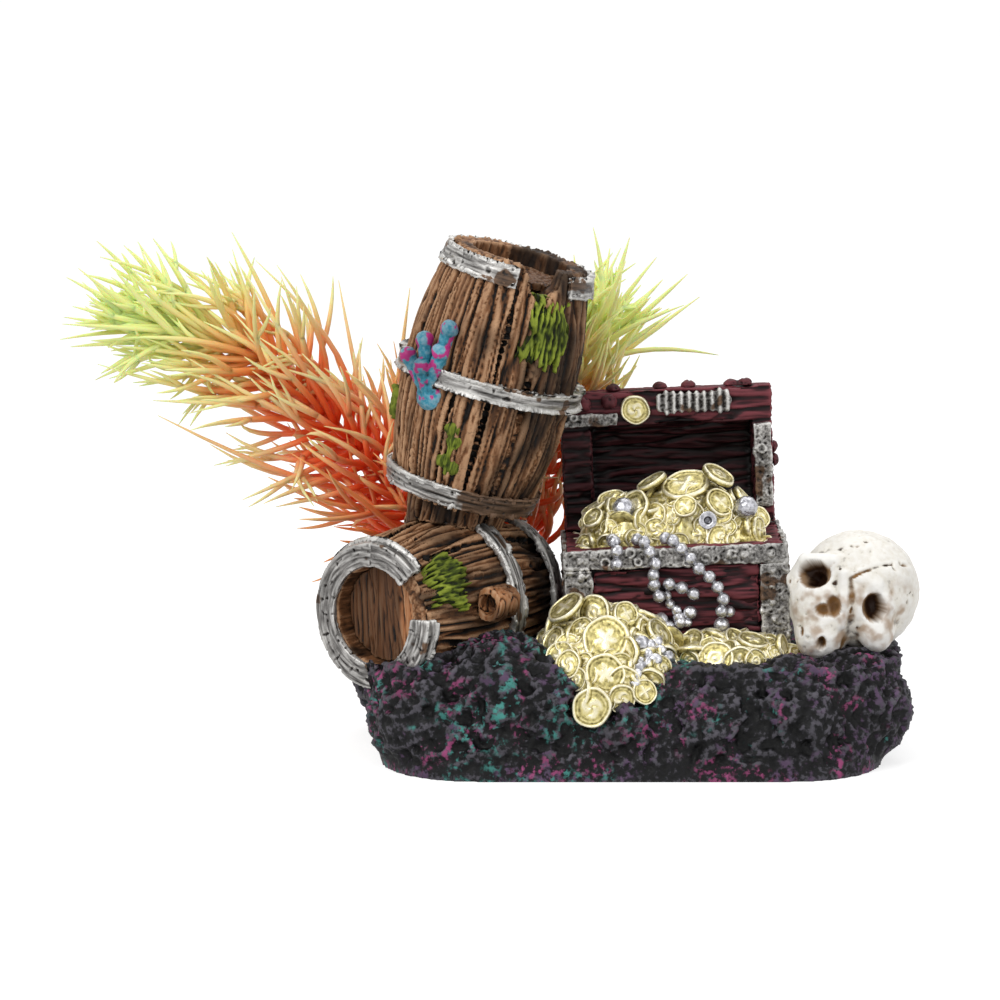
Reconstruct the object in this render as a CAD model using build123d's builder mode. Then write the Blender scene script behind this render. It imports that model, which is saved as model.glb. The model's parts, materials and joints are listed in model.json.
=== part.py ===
from build123d import *
from math import cos, radians, sin, sqrt
import os

# Aquarium ornament: two barrels, an open treasure chest and a skull on a rock, two soft plastic plants, and
# an air line that bubbles out of the treasure. Millimetres, +Z up, origin on the underside of the rock.

# ---------------------------------------------------------------- fits
glue_gap = 0.12  # bonded joint between two castings
turn_clearance = 0.05  # radial, plant collar on its spigot
socket_clearance = 0.05  # radial, plant plug in the rock
bore_clearance = 0.1  # radial, air tube in its duct

# ---------------------------------------------------------------- rock
rock_foot_size = (104.0, 74.0)
rock_foot_y = 1.0
terrace_size = (114.0, 65.0)
terrace_y = 4.5
terrace_height = 22.0
rock_corner_radius = 20.0
# x, y, z and radius of the rounded lumps
boulders = (
    (-27.0, -20.0, 14.5, 13.5),
    (-40.5, -18.0, 10.5, 14.0),
    (-17.0, -23.0, 12.5, 11.5),
    (-2.0, -24.0, 9.0, 11.0),
    (16.0, -22.5, 9.0, 12.5),
    (33.0, -21.0, 10.0, 13.2),
    (45.5, -15.0, 11.5, 12.6),
    (46.5, 18.0, 11.0, 12.0),
    (26.0, 26.5, 9.5, 12.0),
    (-47.0, 16.0, 12.0, 11.5),
    (-30.0, 27.0, 9.0, 12.0),
)

# ---------------------------------------------------------------- barrels
stave_count = 15
stave_groove_depth = 1.0
stave_groove_degrees = 2.6
hoop_thickness = 1.3
hoop_width = 5.0
barrel_wall = 3.8
head_thickness = 2.0
head_inset = 3.4
head_plank_count = 5
head_groove_width = 0.5

lying_length = 44.0
lying_end_radius = 14.0
lying_mid_radius = 17.6
lying_face = (-53.2, -16.2, 30.8)
lying_heading = 39.0  # degrees from +Y towards +X
rim_plate_thickness = 1.2
front_hoop_width = 2.4

standing_length = 53.0
standing_end_radius = 14.2
standing_mid_radius = 18.4
standing_foot = (-36.0, 5.0, 52.6)
standing_lean_right = 14.5
standing_lean_front = 3.0

stump_radius = 11.0
stump_length = 9.0
stump_taper = 8.0

mouth_gap_angle = 22.0  # broken notch in the standing barrel's mouth
mouth_gap_width = 9.0
mouth_gap_depth = 7.0

# ---------------------------------------------------------------- chest
chest_width = 45.0
chest_depth = 28.0
chest_height = 23.0
chest_wall = 3.0
chest_floor = 2.5
chest_foot = (10.2, 6.0, 21.0)
chest_roll = 2.5
chest_sink = 1.2  # depth of the chest's seat below the terrace
strap_thickness = 0.9
rim_band_height = 4.2
post_width = 5.0
plank_count = 4
plank_thickness = 1.0
plank_recess = 1.3
plank_joint = 0.35
rivet_radius = 0.9
lid_height = 30.0
lid_straight_depth = 4.5
lid_arch_rise = 8.0
lid_rim_y = 9.5
lid_board = 7.5
lid_hinge_board = 3.5
lid_arch_wall = 3.2
lid_left_wall = 6.4
lid_right_wall = 4.4

# ---------------------------------------------------------------- treasure
coin_thickness = 1.3
bead_radius = 1.35
bead_pitch = 2.8
heap_fill_height = 21.5
heap_margin = 0.15

# ---------------------------------------------------------------- skull
skull_centre = (47.6, -5.0, 34.6)
skull_side = (0.854, -0.146, -0.496)
skull_front = (-0.2, -0.98, 0.0)
cranium_radius = 12.6
cranium_half_length = 13.8
cranium_back = 2.0
cheek_width = 22.0
jaw_width = 12.5
face_depth = 12.0
face_top = 5.0
face_bottom = -12.0
face_forward = 5.5
eye_radius = 3.6
eye_spacing = 13.6
nose_radius = 2.3
cheek_corner = 4.5
jaw_corner = 3.5
cheek_share = 0.86  # width at the cheeks' lower edge, of the cheek width
mouth_share = 0.75  # depth at the jaw, of the face's depth
midface_share = 0.55  # of the face's height, down from its top

# ---------------------------------------------------------------- air line
air_x = 18.6
air_height = 9.0
air_riser_y = 9.0
air_bend = 7.0
air_face_y = 38.4
tube_outer_radius = 2.5
tube_inner_radius = 1.5
nipple_radius = 2.1
nipple_length = 9.0
nipple_flange_radius = 4.4
nipple_flange_thickness = 1.6
nipple_barb = 0.2
barb_places = (0.45, 0.75)  # shares of the nipple's length
barb_length = 1.8
barb_taper = 8.0
flange_room = 1.0
air_stone_radius = 4.0
air_stone_length = 24.0
nozzle_radius = 1.4
nozzle_length = 4.0

# ---------------------------------------------------------------- plants
plug_radius = 3.0
plug_length = 8.0
plug_flange_radius = 4.6
plug_flange_thickness = 1.4
spigot_radius = 1.5
spigot_length = 5.0
boss_radius = 6.5
boss_top = 24.0
foot_collar_radius = 2.7
foot_collar_roof = 2.0
stem_radius = 1.1
stem_clearance = 0.25
stem_bend = 14.0
leaf_root_radius = 0.62
leaf_tip_radius = 0.22
whorl_collar_radius = 2.1
whorl_collar_length = 3.2
whorl_pitch = 6.0
leaves_per_whorl = 8
leaf_shortest = 7.0
leaf_longest = 25.0
leaf_loss = 7.0  # how much shorter the leaves are at the stem's two ends
longest_at = 0.45  # of the way along the whorls
root_spread = 66.0  # degrees from the stem
tip_spread = 36.0
boss_depth = 6.0  # below the terrace
socket_room = 0.5
leaf_clearance = 0.8  # kept from the castings over the plant's whole travel
plant_pull = 20.0

os.makedirs("parts", exist_ok=True)


def save(builder, name):
    """Labels a finished piece and writes it as its own STEP file."""
    builder.part.label = name
    export_step(builder.part, f"parts/{name}.step")


def turning_plane(foot):
    """The sketch plane through a foot plane's axis: sketch X is radial, sketch Y runs along the axis."""
    return Plane(origin=foot.origin, x_dir=foot.x_dir, z_dir=-foot.y_dir)


def turned(foot, angle):
    """A foot plane turned about its own axis."""
    x_dir = foot.x_dir * cos(radians(angle)) + foot.y_dir * sin(radians(angle))
    return Plane(origin=foot.origin, x_dir=x_dir, z_dir=foot.z_dir)


def axis_of(foot):
    """The axis that a foot plane stands on."""
    return Axis(foot.origin, foot.z_dir)


def ellipsoid(centre, radii):
    """A solid with three half axes, along X, Y and Z."""
    with BuildPart() as form:
        Sphere(1)
        scale(by=radii)
    return Pos(*centre) * form.part


def ellipsoid_point(centre, radii, azimuth, latitude):
    """A point of an ellipsoid, azimuth from the front (-Y) towards +X."""
    out = cos(radians(latitude))
    unit = (out * sin(radians(azimuth)), -out * cos(radians(azimuth)), sin(radians(latitude)))
    return Vector(*(c + r * u for c, r, u in zip(centre, radii, unit)))


def facing(azimuth, elevation):
    """A unit vector, azimuth from the front (-Y) towards +X."""
    out = cos(radians(elevation))
    return Vector(out * sin(radians(azimuth)), -out * cos(radians(azimuth)), sin(radians(elevation)))


def disc(plane, radius, thickness):
    """A disc centred on a plane's origin."""
    with BuildPart() as form:
        with BuildSketch(plane.offset(-thickness / 2)):
            Circle(radius)
        extrude(amount=thickness)
    return form.part


def stud(plane, radius, height):
    """A domed stud that stands on a plane."""
    dome_radius = (radius**2 + height**2) / (2 * height)
    with BuildPart() as form:
        with Locations(plane.offset(height - dome_radius)):
            Sphere(dome_radius)
        split(bisect_by=plane, keep=Keep.TOP)
    return form.part


# ================================================================ barrels
lying_foot = Plane(
    origin=lying_face,
    x_dir=(0, 0, -1),
    z_dir=(sin(radians(lying_heading)), cos(radians(lying_heading)), 0),
)
standing_direction = Vector(
    sin(radians(standing_lean_right)), -sin(radians(standing_lean_front)), cos(radians(standing_lean_right))
)
standing_plane = Plane(origin=standing_foot, x_dir=(0, -1, 0), z_dir=standing_direction)
lying_size = (lying_length, lying_end_radius, lying_mid_radius)
standing_size = (standing_length, standing_end_radius, standing_mid_radius)


def barrel_radius(size, height):
    """Outside radius of a barrel at a height above its foot."""
    length, end_radius, mid_radius = size
    rise = mid_radius - end_radius
    bend = ((length / 2) ** 2 + rise**2) / (2 * rise)
    return mid_radius - bend + sqrt(bend**2 - (height - length / 2) ** 2)


def barrel_arc_points(size, low, high, grow):
    """Three points of the barrel's outside between two heights, moved out by grow."""
    return [(barrel_radius(size, h) + grow, h) for h in (low, (low + high) / 2, high)]


def barrel_body(foot, size, grow=0.0):
    """A barrel with no grooves. grow makes it larger all round, for the seats cut in its neighbours."""
    length = size[0]
    low, middle, high = barrel_arc_points(size, -grow, length + grow, grow)
    with BuildPart() as body:
        with BuildSketch(turning_plane(foot)):
            with BuildLine():
                ThreePointArc(low, middle, high)
                Polyline(high, (0, length + grow), (0, -grow), low)
            make_face()
        revolve(axis=axis_of(foot))
    return body.part


def barrel_band(foot, size, low, high, inner, outer, start=0.0, sweep_angle=360.0):
    """A band round a barrel between two heights, from inner to outer beyond its surface."""
    with BuildPart() as band:
        with BuildSketch(turning_plane(turned(foot, start))):
            inside = barrel_arc_points(size, low, high, inner)
            outside = barrel_arc_points(size, low, high, outer)
            with BuildLine():
                ThreePointArc(*inside)
                Line(inside[2], outside[2])
                ThreePointArc(*reversed(outside))
                Line(outside[0], inside[0])
            make_face()
        revolve(axis=axis_of(foot), revolution_arc=sweep_angle)
    return band.part


def mouth_gap(foot, size):
    """The wedge that is broken out of a barrel's mouth."""
    length, end_radius, _ = size
    side = turned(foot, mouth_gap_angle)
    plane = Plane(
        origin=side.from_local_coords(Vector(end_radius, 0, length)), x_dir=side.y_dir, z_dir=side.x_dir
    )
    with BuildPart() as wedge:
        with BuildSketch(plane):
            Polygon(
                (-0.5 * mouth_gap_width, 1),
                (-0.3 * mouth_gap_width, -0.6 * mouth_gap_depth),
                (0, -mouth_gap_depth),
                (0.35 * mouth_gap_width, -0.5 * mouth_gap_depth),
                (0.5 * mouth_gap_width, 1),
                align=None,
            )
        extrude(amount=barrel_wall + 2, both=True)
    return wedge.part


def barrel_staves(foot, size, recessed_ends, broken_out=None):
    """A coopered body with a groove between its staves and a recess for a head at each named end."""
    length, end_radius, _ = size
    recess = head_thickness + head_inset
    with BuildPart() as staves:
        add(barrel_body(foot, size))
        grooves = [
            barrel_band(foot, size, 0, length, -stave_groove_depth, 2, 360 / stave_count * n, stave_groove_degrees)
            for n in range(stave_count)
        ]
        add(grooves, mode=Mode.SUBTRACT)
        for end in recessed_ends:
            with BuildSketch(foot.offset(0 if end == "foot" else length - recess)):
                Circle(end_radius - barrel_wall)
            extrude(amount=recess, mode=Mode.SUBTRACT)
        if broken_out:
            add(broken_out, mode=Mode.SUBTRACT)
    return staves


def barrel_head(foot, size, end):
    """The planked disc that closes one end of a barrel."""
    length, end_radius, _ = size
    radius = end_radius - barrel_wall - glue_gap
    seat = head_inset if end == "foot" else length - head_inset - head_thickness
    seat_gap = 0 if end == "foot" else glue_gap
    groove_level = seat if end == "foot" else seat + head_thickness - head_groove_width
    pitch = 2 * radius / head_plank_count
    with BuildPart() as head:
        with BuildSketch(foot.offset(seat + seat_gap)):
            Circle(radius)
        extrude(amount=head_thickness - glue_gap)
        with BuildSketch(foot.offset(groove_level)):
            with GridLocations(0, pitch, 1, head_plank_count - 1):
                Rectangle(2 * radius, head_groove_width)
        extrude(amount=head_groove_width, mode=Mode.SUBTRACT)
    return head


# name: low and high edge along the barrel, where it starts round it, how far round it goes
lying_middle_hoop_low = 22.5
lying_hoops = {
    "lying_barrel_front_hoop": (0.0, front_hoop_width, 267.0, 320.0),
    "lying_barrel_middle_hoop": (lying_middle_hoop_low, lying_middle_hoop_low + hoop_width, 0.0, 360.0),
    "lying_barrel_rear_hoop": (lying_length - hoop_width, lying_length, 0.0, 360.0),
}
standing_middle_hoop_low = 0.5 * (standing_length - hoop_width)
standing_hoops = {
    "standing_barrel_bottom_hoop": (0.0, hoop_width, 0.0, 360.0),
    "standing_barrel_middle_hoop": (standing_middle_hoop_low, standing_middle_hoop_low + hoop_width, 0.0, 360.0),
    "standing_barrel_top_hoop": (standing_length - hoop_width, standing_length, 2 * mouth_gap_angle, 316.0),
}


def barrel_seat(foot, size, hoops, gap):
    """A barrel with its hoops, grown by gap: the shape to cut out of whatever it rests in."""
    with BuildPart() as seat:
        add(barrel_body(foot, size, gap))
        for low, high, _, _ in hoops.values():
            add(barrel_band(foot, size, low - gap, high + gap, -1, hoop_thickness + gap))
    return seat.part


lying_seat = barrel_seat(lying_foot, lying_size, lying_hoops, glue_gap) + disc(
    lying_foot.offset(-rim_plate_thickness / 2),
    lying_end_radius + hoop_thickness + glue_gap,
    rim_plate_thickness + 2 * glue_gap,
)
standing_seat = barrel_seat(standing_plane, standing_size, standing_hoops, glue_gap)


def make_barrels():
    """Staves, heads and hoops of both barrels, and the stump between them."""
    save(barrel_staves(lying_foot, lying_size, ("foot", "top")), "lying_barrel_staves")
    broken_out = mouth_gap(standing_plane, standing_size)
    save(barrel_staves(standing_plane, standing_size, ("top",), broken_out), "standing_barrel_staves")
    save(barrel_head(lying_foot, lying_size, "foot"), "lying_barrel_front_head")
    save(barrel_head(lying_foot, lying_size, "top"), "lying_barrel_rear_head")
    save(barrel_head(standing_plane, standing_size, "top"), "standing_barrel_head")
    for foot, size, hoops in ((lying_foot, lying_size, lying_hoops), (standing_plane, standing_size, standing_hoops)):
        for name, (low, high, start, sweep_angle) in hoops.items():
            with BuildPart() as hoop:
                add(barrel_band(foot, size, low, high, glue_gap, hoop_thickness, start, sweep_angle))
                if name == "lying_barrel_front_hoop":
                    with BuildSketch(turning_plane(turned(foot, start))):
                        with Locations((size[1] - barrel_wall + glue_gap, -rim_plate_thickness)):
                            Rectangle(
                                barrel_wall - glue_gap + hoop_thickness,
                                rim_plate_thickness - glue_gap,
                                align=Align.MIN,
                            )
                        with Locations((size[1] + glue_gap, -glue_gap)):
                            Rectangle(hoop_thickness - glue_gap, 2 * glue_gap, align=Align.MIN)
                    revolve(axis=axis_of(foot), revolution_arc=sweep_angle)
            save(hoop, name)
    with BuildPart() as stump:
        with BuildSketch(standing_plane.offset(-glue_gap)):
            Circle(stump_radius)
        extrude(amount=-stump_length, taper=stump_taper)
        add(lying_seat, mode=Mode.SUBTRACT)
    save(stump, "barrel_stump")


# ================================================================ growth on the barrels
moss_thickness = 1.0
polyp_radius = 1.9
polyp_stalk_radius = 1.5
polyp_height = 2.6
# angle round the standing barrel from its front, height along it
polyps = ((-33.0, 37.0), (-48.0, 33.0), (-34.0, 32.0), (-58.0, 28.5), (-44.0, 27.6))
polyp_root = (-40.0, 22.0)
polyp_root_radius = 3.4
leaf_lobes = ((-14.0, 14.5), (-19.0, 10.0), (-11.0, 9.0), (-17.0, 17.0))
leaf_lobe_radius = 1.9
splinter_angle = 262.0  # rolled-up broken stave, round the lying barrel
splinter_height = 12.5
splinter_radius = 3.6
splinter_length = 7.0
splinter_wall = 1.4


def on_barrel(foot, size, angle, height, out=0.0):
    """A plane that lies on a barrel's side, its Z pointing out."""
    side = turned(foot, angle)
    origin = side.from_local_coords(Vector(barrel_radius(size, height) + out, 0, height))
    return Plane(origin=origin, x_dir=side.y_dir, z_dir=side.x_dir)


def make_growth():
    """Coral, moss and leaves on the barrels, and the rolled-up end of a broken stave."""
    patches = (
        ("moss_upper", standing_plane, standing_size, 33.0, 48.0, 12.0, 36.0),
        ("moss_lower", lying_foot, lying_size, front_hoop_width + glue_gap, 12.0, 214.0, 52.0),
        ("moss_side", standing_plane, standing_size, 13.0, 20.0, 262.0, 22.0),
    )
    for name, foot, size, low, high, start, sweep_angle in patches:
        with BuildPart() as moss:
            add(barrel_band(foot, size, low, high, glue_gap, moss_thickness, start, sweep_angle))
        save(moss, name)
    with BuildPart() as coral:
        add(stud(on_barrel(standing_plane, standing_size, *polyp_root), polyp_root_radius, moss_thickness + 0.8))
        root = on_barrel(standing_plane, standing_size, *polyp_root)
        for angle, height in polyps:
            place = on_barrel(standing_plane, standing_size, angle, height, polyp_height)
            tip = place.origin
            with BuildSketch(Plane(origin=root.origin, z_dir=tip - root.origin)):
                Circle(polyp_stalk_radius)
            extrude(amount=(tip - root.origin).length)
            with Locations(tip):
                Sphere(polyp_radius)
        add(standing_seat, mode=Mode.SUBTRACT)
    save(coral, "coral_polyps")
    with BuildPart() as sprig:
        for angle, height in leaf_lobes:
            add(stud(on_barrel(standing_plane, standing_size, angle, height), leaf_lobe_radius, 0.9))
        add(barrel_band(standing_plane, standing_size, 7.0, 18.0, glue_gap, 0.7, -17.0, 3.0))
        add(barrel_body(standing_plane, standing_size, glue_gap), mode=Mode.SUBTRACT)
    save(sprig, "leaf_sprig")
    with BuildPart() as splinter:
        place = on_barrel(lying_foot, lying_size, splinter_angle, splinter_height, splinter_radius - 0.6)
        across = Plane(origin=place.origin, x_dir=place.z_dir, z_dir=lying_foot.z_dir)
        with BuildSketch(across):
            Circle(splinter_radius)
            Circle(splinter_radius - splinter_wall, mode=Mode.SUBTRACT)
        extrude(amount=splinter_length)
        add(barrel_seat(lying_foot, lying_size, lying_hoops, glue_gap), mode=Mode.SUBTRACT)
    save(splinter, "barrel_splinter")


# ================================================================ chest
roll = radians(chest_roll)
chest = Plane(origin=chest_foot, x_dir=(cos(roll), 0, sin(roll)), z_dir=(-sin(roll), 0, cos(roll)))


def chest_face(x, y, height, out_dir):
    """A plane on the chest, at chest-local x and y and a height above its foot. Its X runs along the chest."""
    x_dir = chest.y_dir if abs(out_dir.dot(chest.x_dir)) > 0.5 else chest.x_dir
    return Plane(origin=chest.from_local_coords(Vector(x, y, height)), x_dir=x_dir, z_dir=out_dir)


chest_front = chest_face(0, -chest_depth / 2, 0, -chest.y_dir)
lid_front = chest_face(0, lid_rim_y, chest_height, -chest.y_dir)
lid_side = Plane(
    origin=chest.from_local_coords(Vector(-chest_width / 2, 0, chest_height)), x_dir=chest.y_dir, z_dir=chest.x_dir
)
lid_crown_y = lid_rim_y + lid_straight_depth
panel_width = chest_width - 2 * post_width
panel_low = 1.0
panel_high = chest_height - rim_band_height


def duct(radius, start_y, top):
    """The air tube's path as a solid of any radius: in from the back, then up to a height."""
    with BuildPart() as form:
        with BuildLine() as route:
            FilletPolyline(
                (air_x, start_y, air_height), (air_x, air_riser_y, air_height), (air_x, air_riser_y, top), radius=air_bend
            )
        with BuildSketch(Plane(origin=(air_x, start_y, air_height), z_dir=(0, -1, 0))):
            Circle(radius)
        sweep(path=route.wires()[0])
    return form.part


tube_top = chest.from_local_coords(Vector(air_x - chest_foot[0], 0, chest_floor)).Z
stone_foot = Plane(origin=(air_x, air_riser_y, tube_top + 2 * bore_clearance + glue_gap))


def stone_bore(gap):
    """The room that the air stone takes."""
    with BuildPart() as form:
        with BuildSketch(stone_foot.offset(-nozzle_length)):
            Circle(air_stone_radius + gap)
        extrude(amount=nozzle_length + air_stone_length + chest_height)
    return form.part


def chest_block(gap):
    """The chest's strapped box with no hollow, grown by gap: the seat that it leaves in its neighbours."""
    grow = 2 * (strap_thickness + gap)
    with BuildPart() as block:
        with BuildSketch(chest.offset(-glue_gap)):
            Rectangle(chest_width + grow, chest_depth + grow)
        extrude(amount=chest_height)
    return block.part


def lid_profile(rim_y, crown_y, low, high, rise):
    """Side outline of the lid or of its hollow, standing on its back edge."""
    with BuildSketch() as outline:
        with BuildLine():
            Polyline((crown_y, low), (rim_y, low), (rim_y, high), (crown_y, high))
            ThreePointArc((crown_y, high), (crown_y + rise, (low + high) / 2), (crown_y, low))
        make_face()
    return outline.sketch


def make_chest():
    """Box, planks, bands, posts, rivets, lid and lid fittings."""
    with BuildPart() as box:
        with BuildSketch(chest):
            Rectangle(chest_width, chest_depth)
        extrude(amount=chest_height)
        with BuildSketch(chest.offset(chest_floor)):
            Rectangle(chest_width - 2 * chest_wall, chest_depth - 2 * chest_wall)
        extrude(amount=chest_height, mode=Mode.SUBTRACT)
        with BuildSketch(chest_front):
            with Locations((0, (panel_low + panel_high) / 2)):
                Rectangle(panel_width, panel_high - panel_low)
        extrude(amount=-plank_recess, mode=Mode.SUBTRACT)
        add(duct(tube_outer_radius + bore_clearance, air_face_y, tube_top + 5), mode=Mode.SUBTRACT)
    save(box, "chest_box")

    plank_height = (panel_high - panel_low - (plank_count + 1) * plank_joint) / plank_count
    with BuildPart() as planks:
        with BuildSketch(chest_front.offset(-plank_recess)):
            with Locations((0, (panel_low + panel_high) / 2)):
                with GridLocations(0, plank_height + plank_joint, 1, plank_count):
                    Rectangle(panel_width - 2 * glue_gap, plank_height)
        extrude(amount=plank_thickness)
    save(planks, "chest_front_planks")

    with BuildPart() as band:
        with BuildSketch(chest.offset(chest_height - rim_band_height)):
            Rectangle(chest_width + 2 * strap_thickness, chest_depth + 2 * strap_thickness)
            Rectangle(chest_width + 2 * glue_gap, chest_depth + 2 * glue_gap, mode=Mode.SUBTRACT)
        extrude(amount=rim_band_height - glue_gap)
    save(band, "chest_rim_band")

    with BuildPart() as posts:
        with BuildSketch(chest.offset(glue_gap)):
            Rectangle(chest_width + 2 * strap_thickness, chest_depth + 2 * strap_thickness)
            Rectangle(chest_width + 2 * glue_gap, chest_depth + 2 * glue_gap, mode=Mode.SUBTRACT)
            Rectangle(chest_width - 2 * post_width, 2 * chest_depth, mode=Mode.SUBTRACT)
            Rectangle(2 * chest_width, chest_depth - 2 * post_width, mode=Mode.SUBTRACT)
        extrude(amount=chest_height - rim_band_height - 2 * glue_gap)
    save(posts, "chest_corner_posts")

    rivet_front = chest_front.offset(strap_thickness)
    post_x = (chest_width - post_width) / 2
    band_middle = chest_height - rim_band_height / 2
    rivet_rows = 5
    with BuildPart() as rivets:
        for side in (-1, 1):
            for row in range(rivet_rows):
                height = 3.5 + row * (panel_high - 5) / (rivet_rows - 1)
                spot = rivet_front.from_local_coords(Vector(side * post_x, height, 0))
                add(stud(Plane(origin=spot, x_dir=chest.x_dir, z_dir=-chest.y_dir), rivet_radius, rivet_radius))
        for x in (-post_x, 0.32 * post_x, 0.55 * post_x, 0.72 * post_x, post_x):
            spot = rivet_front.from_local_coords(Vector(x, band_middle, 0))
            add(stud(Plane(origin=spot, x_dir=chest.x_dir, z_dir=-chest.y_dir), rivet_radius, rivet_radius))
    save(rivets, "chest_rivets")

    with BuildPart() as lid:
        with BuildSketch(lid_side):
            add(lid_profile(lid_rim_y, lid_crown_y, glue_gap, lid_height, lid_arch_rise))
        extrude(amount=chest_width)
        with BuildSketch(lid_side.offset(lid_left_wall)):
            hollow_rise = lid_arch_rise - lid_arch_wall + 1
            add(lid_profile(lid_rim_y - 1, lid_crown_y - 1, lid_hinge_board, lid_height - lid_board, hollow_rise))
        extrude(amount=chest_width - lid_left_wall - lid_right_wall, mode=Mode.SUBTRACT)
    save(lid, "chest_lid")

    strap_low = lid_height - lid_board
    with BuildPart() as straps:
        with BuildSketch(lid_front.offset(glue_gap)):
            with Locations((-chest_width / 2, strap_low + 0.2)):
                Rectangle(12.0, 2.6, align=Align.MIN)
            with Locations((chest_width / 2 - lid_right_wall + 0.4, 4.0)):
                Rectangle(lid_right_wall - 0.8, strap_low - 4.6, align=Align.MIN)
        extrude(amount=strap_thickness)
    save(straps, "chest_lid_straps")

    with BuildPart() as hasp:
        with BuildSketch(lid_front.offset(glue_gap)):
            with Locations((6.0, strap_low + 0.62 * lid_board)):
                Rectangle(14.5, 4.0)
                with Locations((-5.6, 0), (5.6, 0)):
                    Circle(2.5)
        extrude(amount=1.2)
    save(hasp, "chest_hasp")

    with BuildPart() as studs:
        for x in (-11.0, -1.0, 5.0, 14.0, 17.0):
            add(stud(chest_face(x, lid_rim_y + 2.6, chest_height + lid_height + 0.02, chest.z_dir), 1.7, 1.4))
        for out, height in ((0.0, 16.5), (0.0, 13.5), (strap_thickness, -8.0)):
            spot = chest_face(chest_width / 2 + out, 12.0, chest_height + height, chest.x_dir)
            add(stud(spot, 1.4, 1.2))
        for x, height in ((-17.6, 27.4), (-12.2, 27.8)):
            add(stud(chest_face(x, lid_rim_y, chest_height + height, -chest.y_dir), 1.8, 1.5))
    save(studs, "chest_lid_studs")

    with BuildPart() as coin:
        place = chest_face(-6.6, lid_rim_y - coin_thickness / 2 - glue_gap, chest_height + strap_low + 3.4, -chest.y_dir)
        add(disc(place, 3.1, coin_thickness))
    save(coin, "lid_coin")


# ================================================================ treasure
spill_low = 12.0
# a mound is its centre and its three half axes
spill_mounds = (
    ((-5.0, -13.0, 14.0), (17.5, 20.0, 18.0)),
    ((20.0, -13.0, 20.0), (15.0, 10.0, 6.0)),
)
heap_mounds = (
    ((13.4, 5.0, 41.0), (16.0, 9.5, 14.0)),
    ((-0.6, 4.0, 41.0), (10.0, 8.5, 11.5)),
)
# mound number, azimuth, latitude, coin radius, elevation that it faces, lift off the mound
spill_coins = (
    (0, -28.0, 76.0, 3.7, 14.0, 2.0),
    (0, -61.0, 64.0, 4.0, 50.0, 3.6),
    (0, -58.0, 43.0, 3.0, 30.0, 0.4),
    (0, -3.0, 49.0, 4.9, 32.0, 0.6),
    (0, -32.0, 29.0, 3.0, 20.0, 0.4),
    (0, -3.0, 25.0, 4.1, 12.0, 0.4),
    (0, -11.0, 3.0, 4.1, 8.0, 1.5),
    (0, 24.0, 12.0, 2.7, 10.0, 0.4),
    (0, 41.0, 25.0, 2.8, 16.0, 0.4),
    (0, 62.0, 48.0, 3.6, 38.0, 0.5),
    (0, -34.0, 57.0, 2.6, 40.0, 0.3),
    (0, 30.0, 71.0, 2.8, 30.0, 1.6),
    (1, -12.0, 27.0, 3.7, 20.0, 0.5),
    (1, 42.0, 60.0, 3.4, 72.0, 0.5),
    (1, 70.0, 40.0, 2.8, 12.0, 0.5),
)
heap_coins = (
    (0, -24.0, 77.0, 5.0, 62.0, 0.8),
    (0, -80.0, 62.0, 3.3, 60.0, 2.8),
    (0, 60.0, 74.0, 3.6, 60.0, 3.4),
    (0, 30.0, 50.0, 3.2, 36.0, 0.6),
    (0, 84.0, 48.0, 3.4, 40.0, 0.6),
    (0, -8.0, 40.0, 2.5, 40.0, 2.8),
    (1, -84.0, 50.0, 3.0, 60.0, 0.6),
    (1, -46.0, 34.0, 2.4, 44.0, 2.3),
)
# chest-front x, height above the chest's foot, distance out of the front
hang = strap_thickness + bead_radius + glue_gap
bead_routes = {
    "bead_strand_left": ((-13.0, 24.6, -2.4), (-12.6, 24.6, 0.6), (-12.2, 23.5, 2.2), (-12.5, 17.6, hang)),
    "bead_strand_middle": (
        (-7.8, 24.6, -1.2),
        (-6.6, 24.6, 1.0),
        (-5.9, 23.5, hang),
        (-4.8, 21.2, hang),
        (-3.8, 18.6, hang),
        (-5.7, 16.5, hang),
        (-3.7, 14.2, hang),
        (-3.9, 11.4, hang),
    ),
    "bead_strand_right": (
        (-1.9, 24.6, -1.2),
        (-0.6, 24.6, 1.0),
        (0.6, 23.5, hang),
        (2.9, 20.9, hang),
        (4.9, 18.2, hang),
        (7.2, 16.4, hang),
        (8.8, 13.8, hang),
        (9.9, 11.0, hang),
        (8.4, 7.8, hang),
    ),
    "bead_strand_cross": ((-1.6, 15.5, hang), (1.9, 14.3, hang), (5.0, 12.0, hang)),
}


def coin_places(coins, mounds):
    """The plane and radius of each coin that lies on a mound."""
    places = []
    for mound, azimuth, latitude, radius, nod, lift in coins:
        normal = facing(azimuth, nod)
        origin = ellipsoid_point(*mounds[mound], azimuth, latitude) + normal * lift
        places.append((Plane(origin=origin, z_dir=normal), radius))
    return places


spill_places = coin_places(spill_coins, spill_mounds)
heap_places = coin_places(heap_coins, heap_mounds)


def walk(points, pitch):
    """Points at equal steps along a run of straight lines."""
    places = [points[0]]
    left = pitch
    for start, end in zip(points, points[1:]):
        length = (end - start).length
        at = left
        while at <= length:
            places.append(start + (end - start) * (at / length))
            at += pitch
        left = at - length
    return places


def make_beads():
    """The four strands of round beads, bead against bead."""
    for name, route in bead_routes.items():
        guides = [chest_front.from_local_coords(Vector(*point)) for point in route]
        with BuildPart() as strand:
            with Locations(*walk(guides, bead_pitch)):
                Sphere(bead_radius)
        save(strand, name)


silver_ball_radius = 2.4
silver_ball_places = ((-10.2, -6.4, 30.2), (15.4, -7.7, 29.6))  # chest-local
ring_bead_place = (7.2, -10.3, 27.6)
ring_bead_radius = 1.9
ring_bead_hole = 0.8
ring_bead_length = 1.8
nugget_places = ((1.6, -24.4, 26.4, 2.0), (7.0, -22.6, 23.1, 1.8), (1.1, -28.5, 22.5, 1.6))


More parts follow.
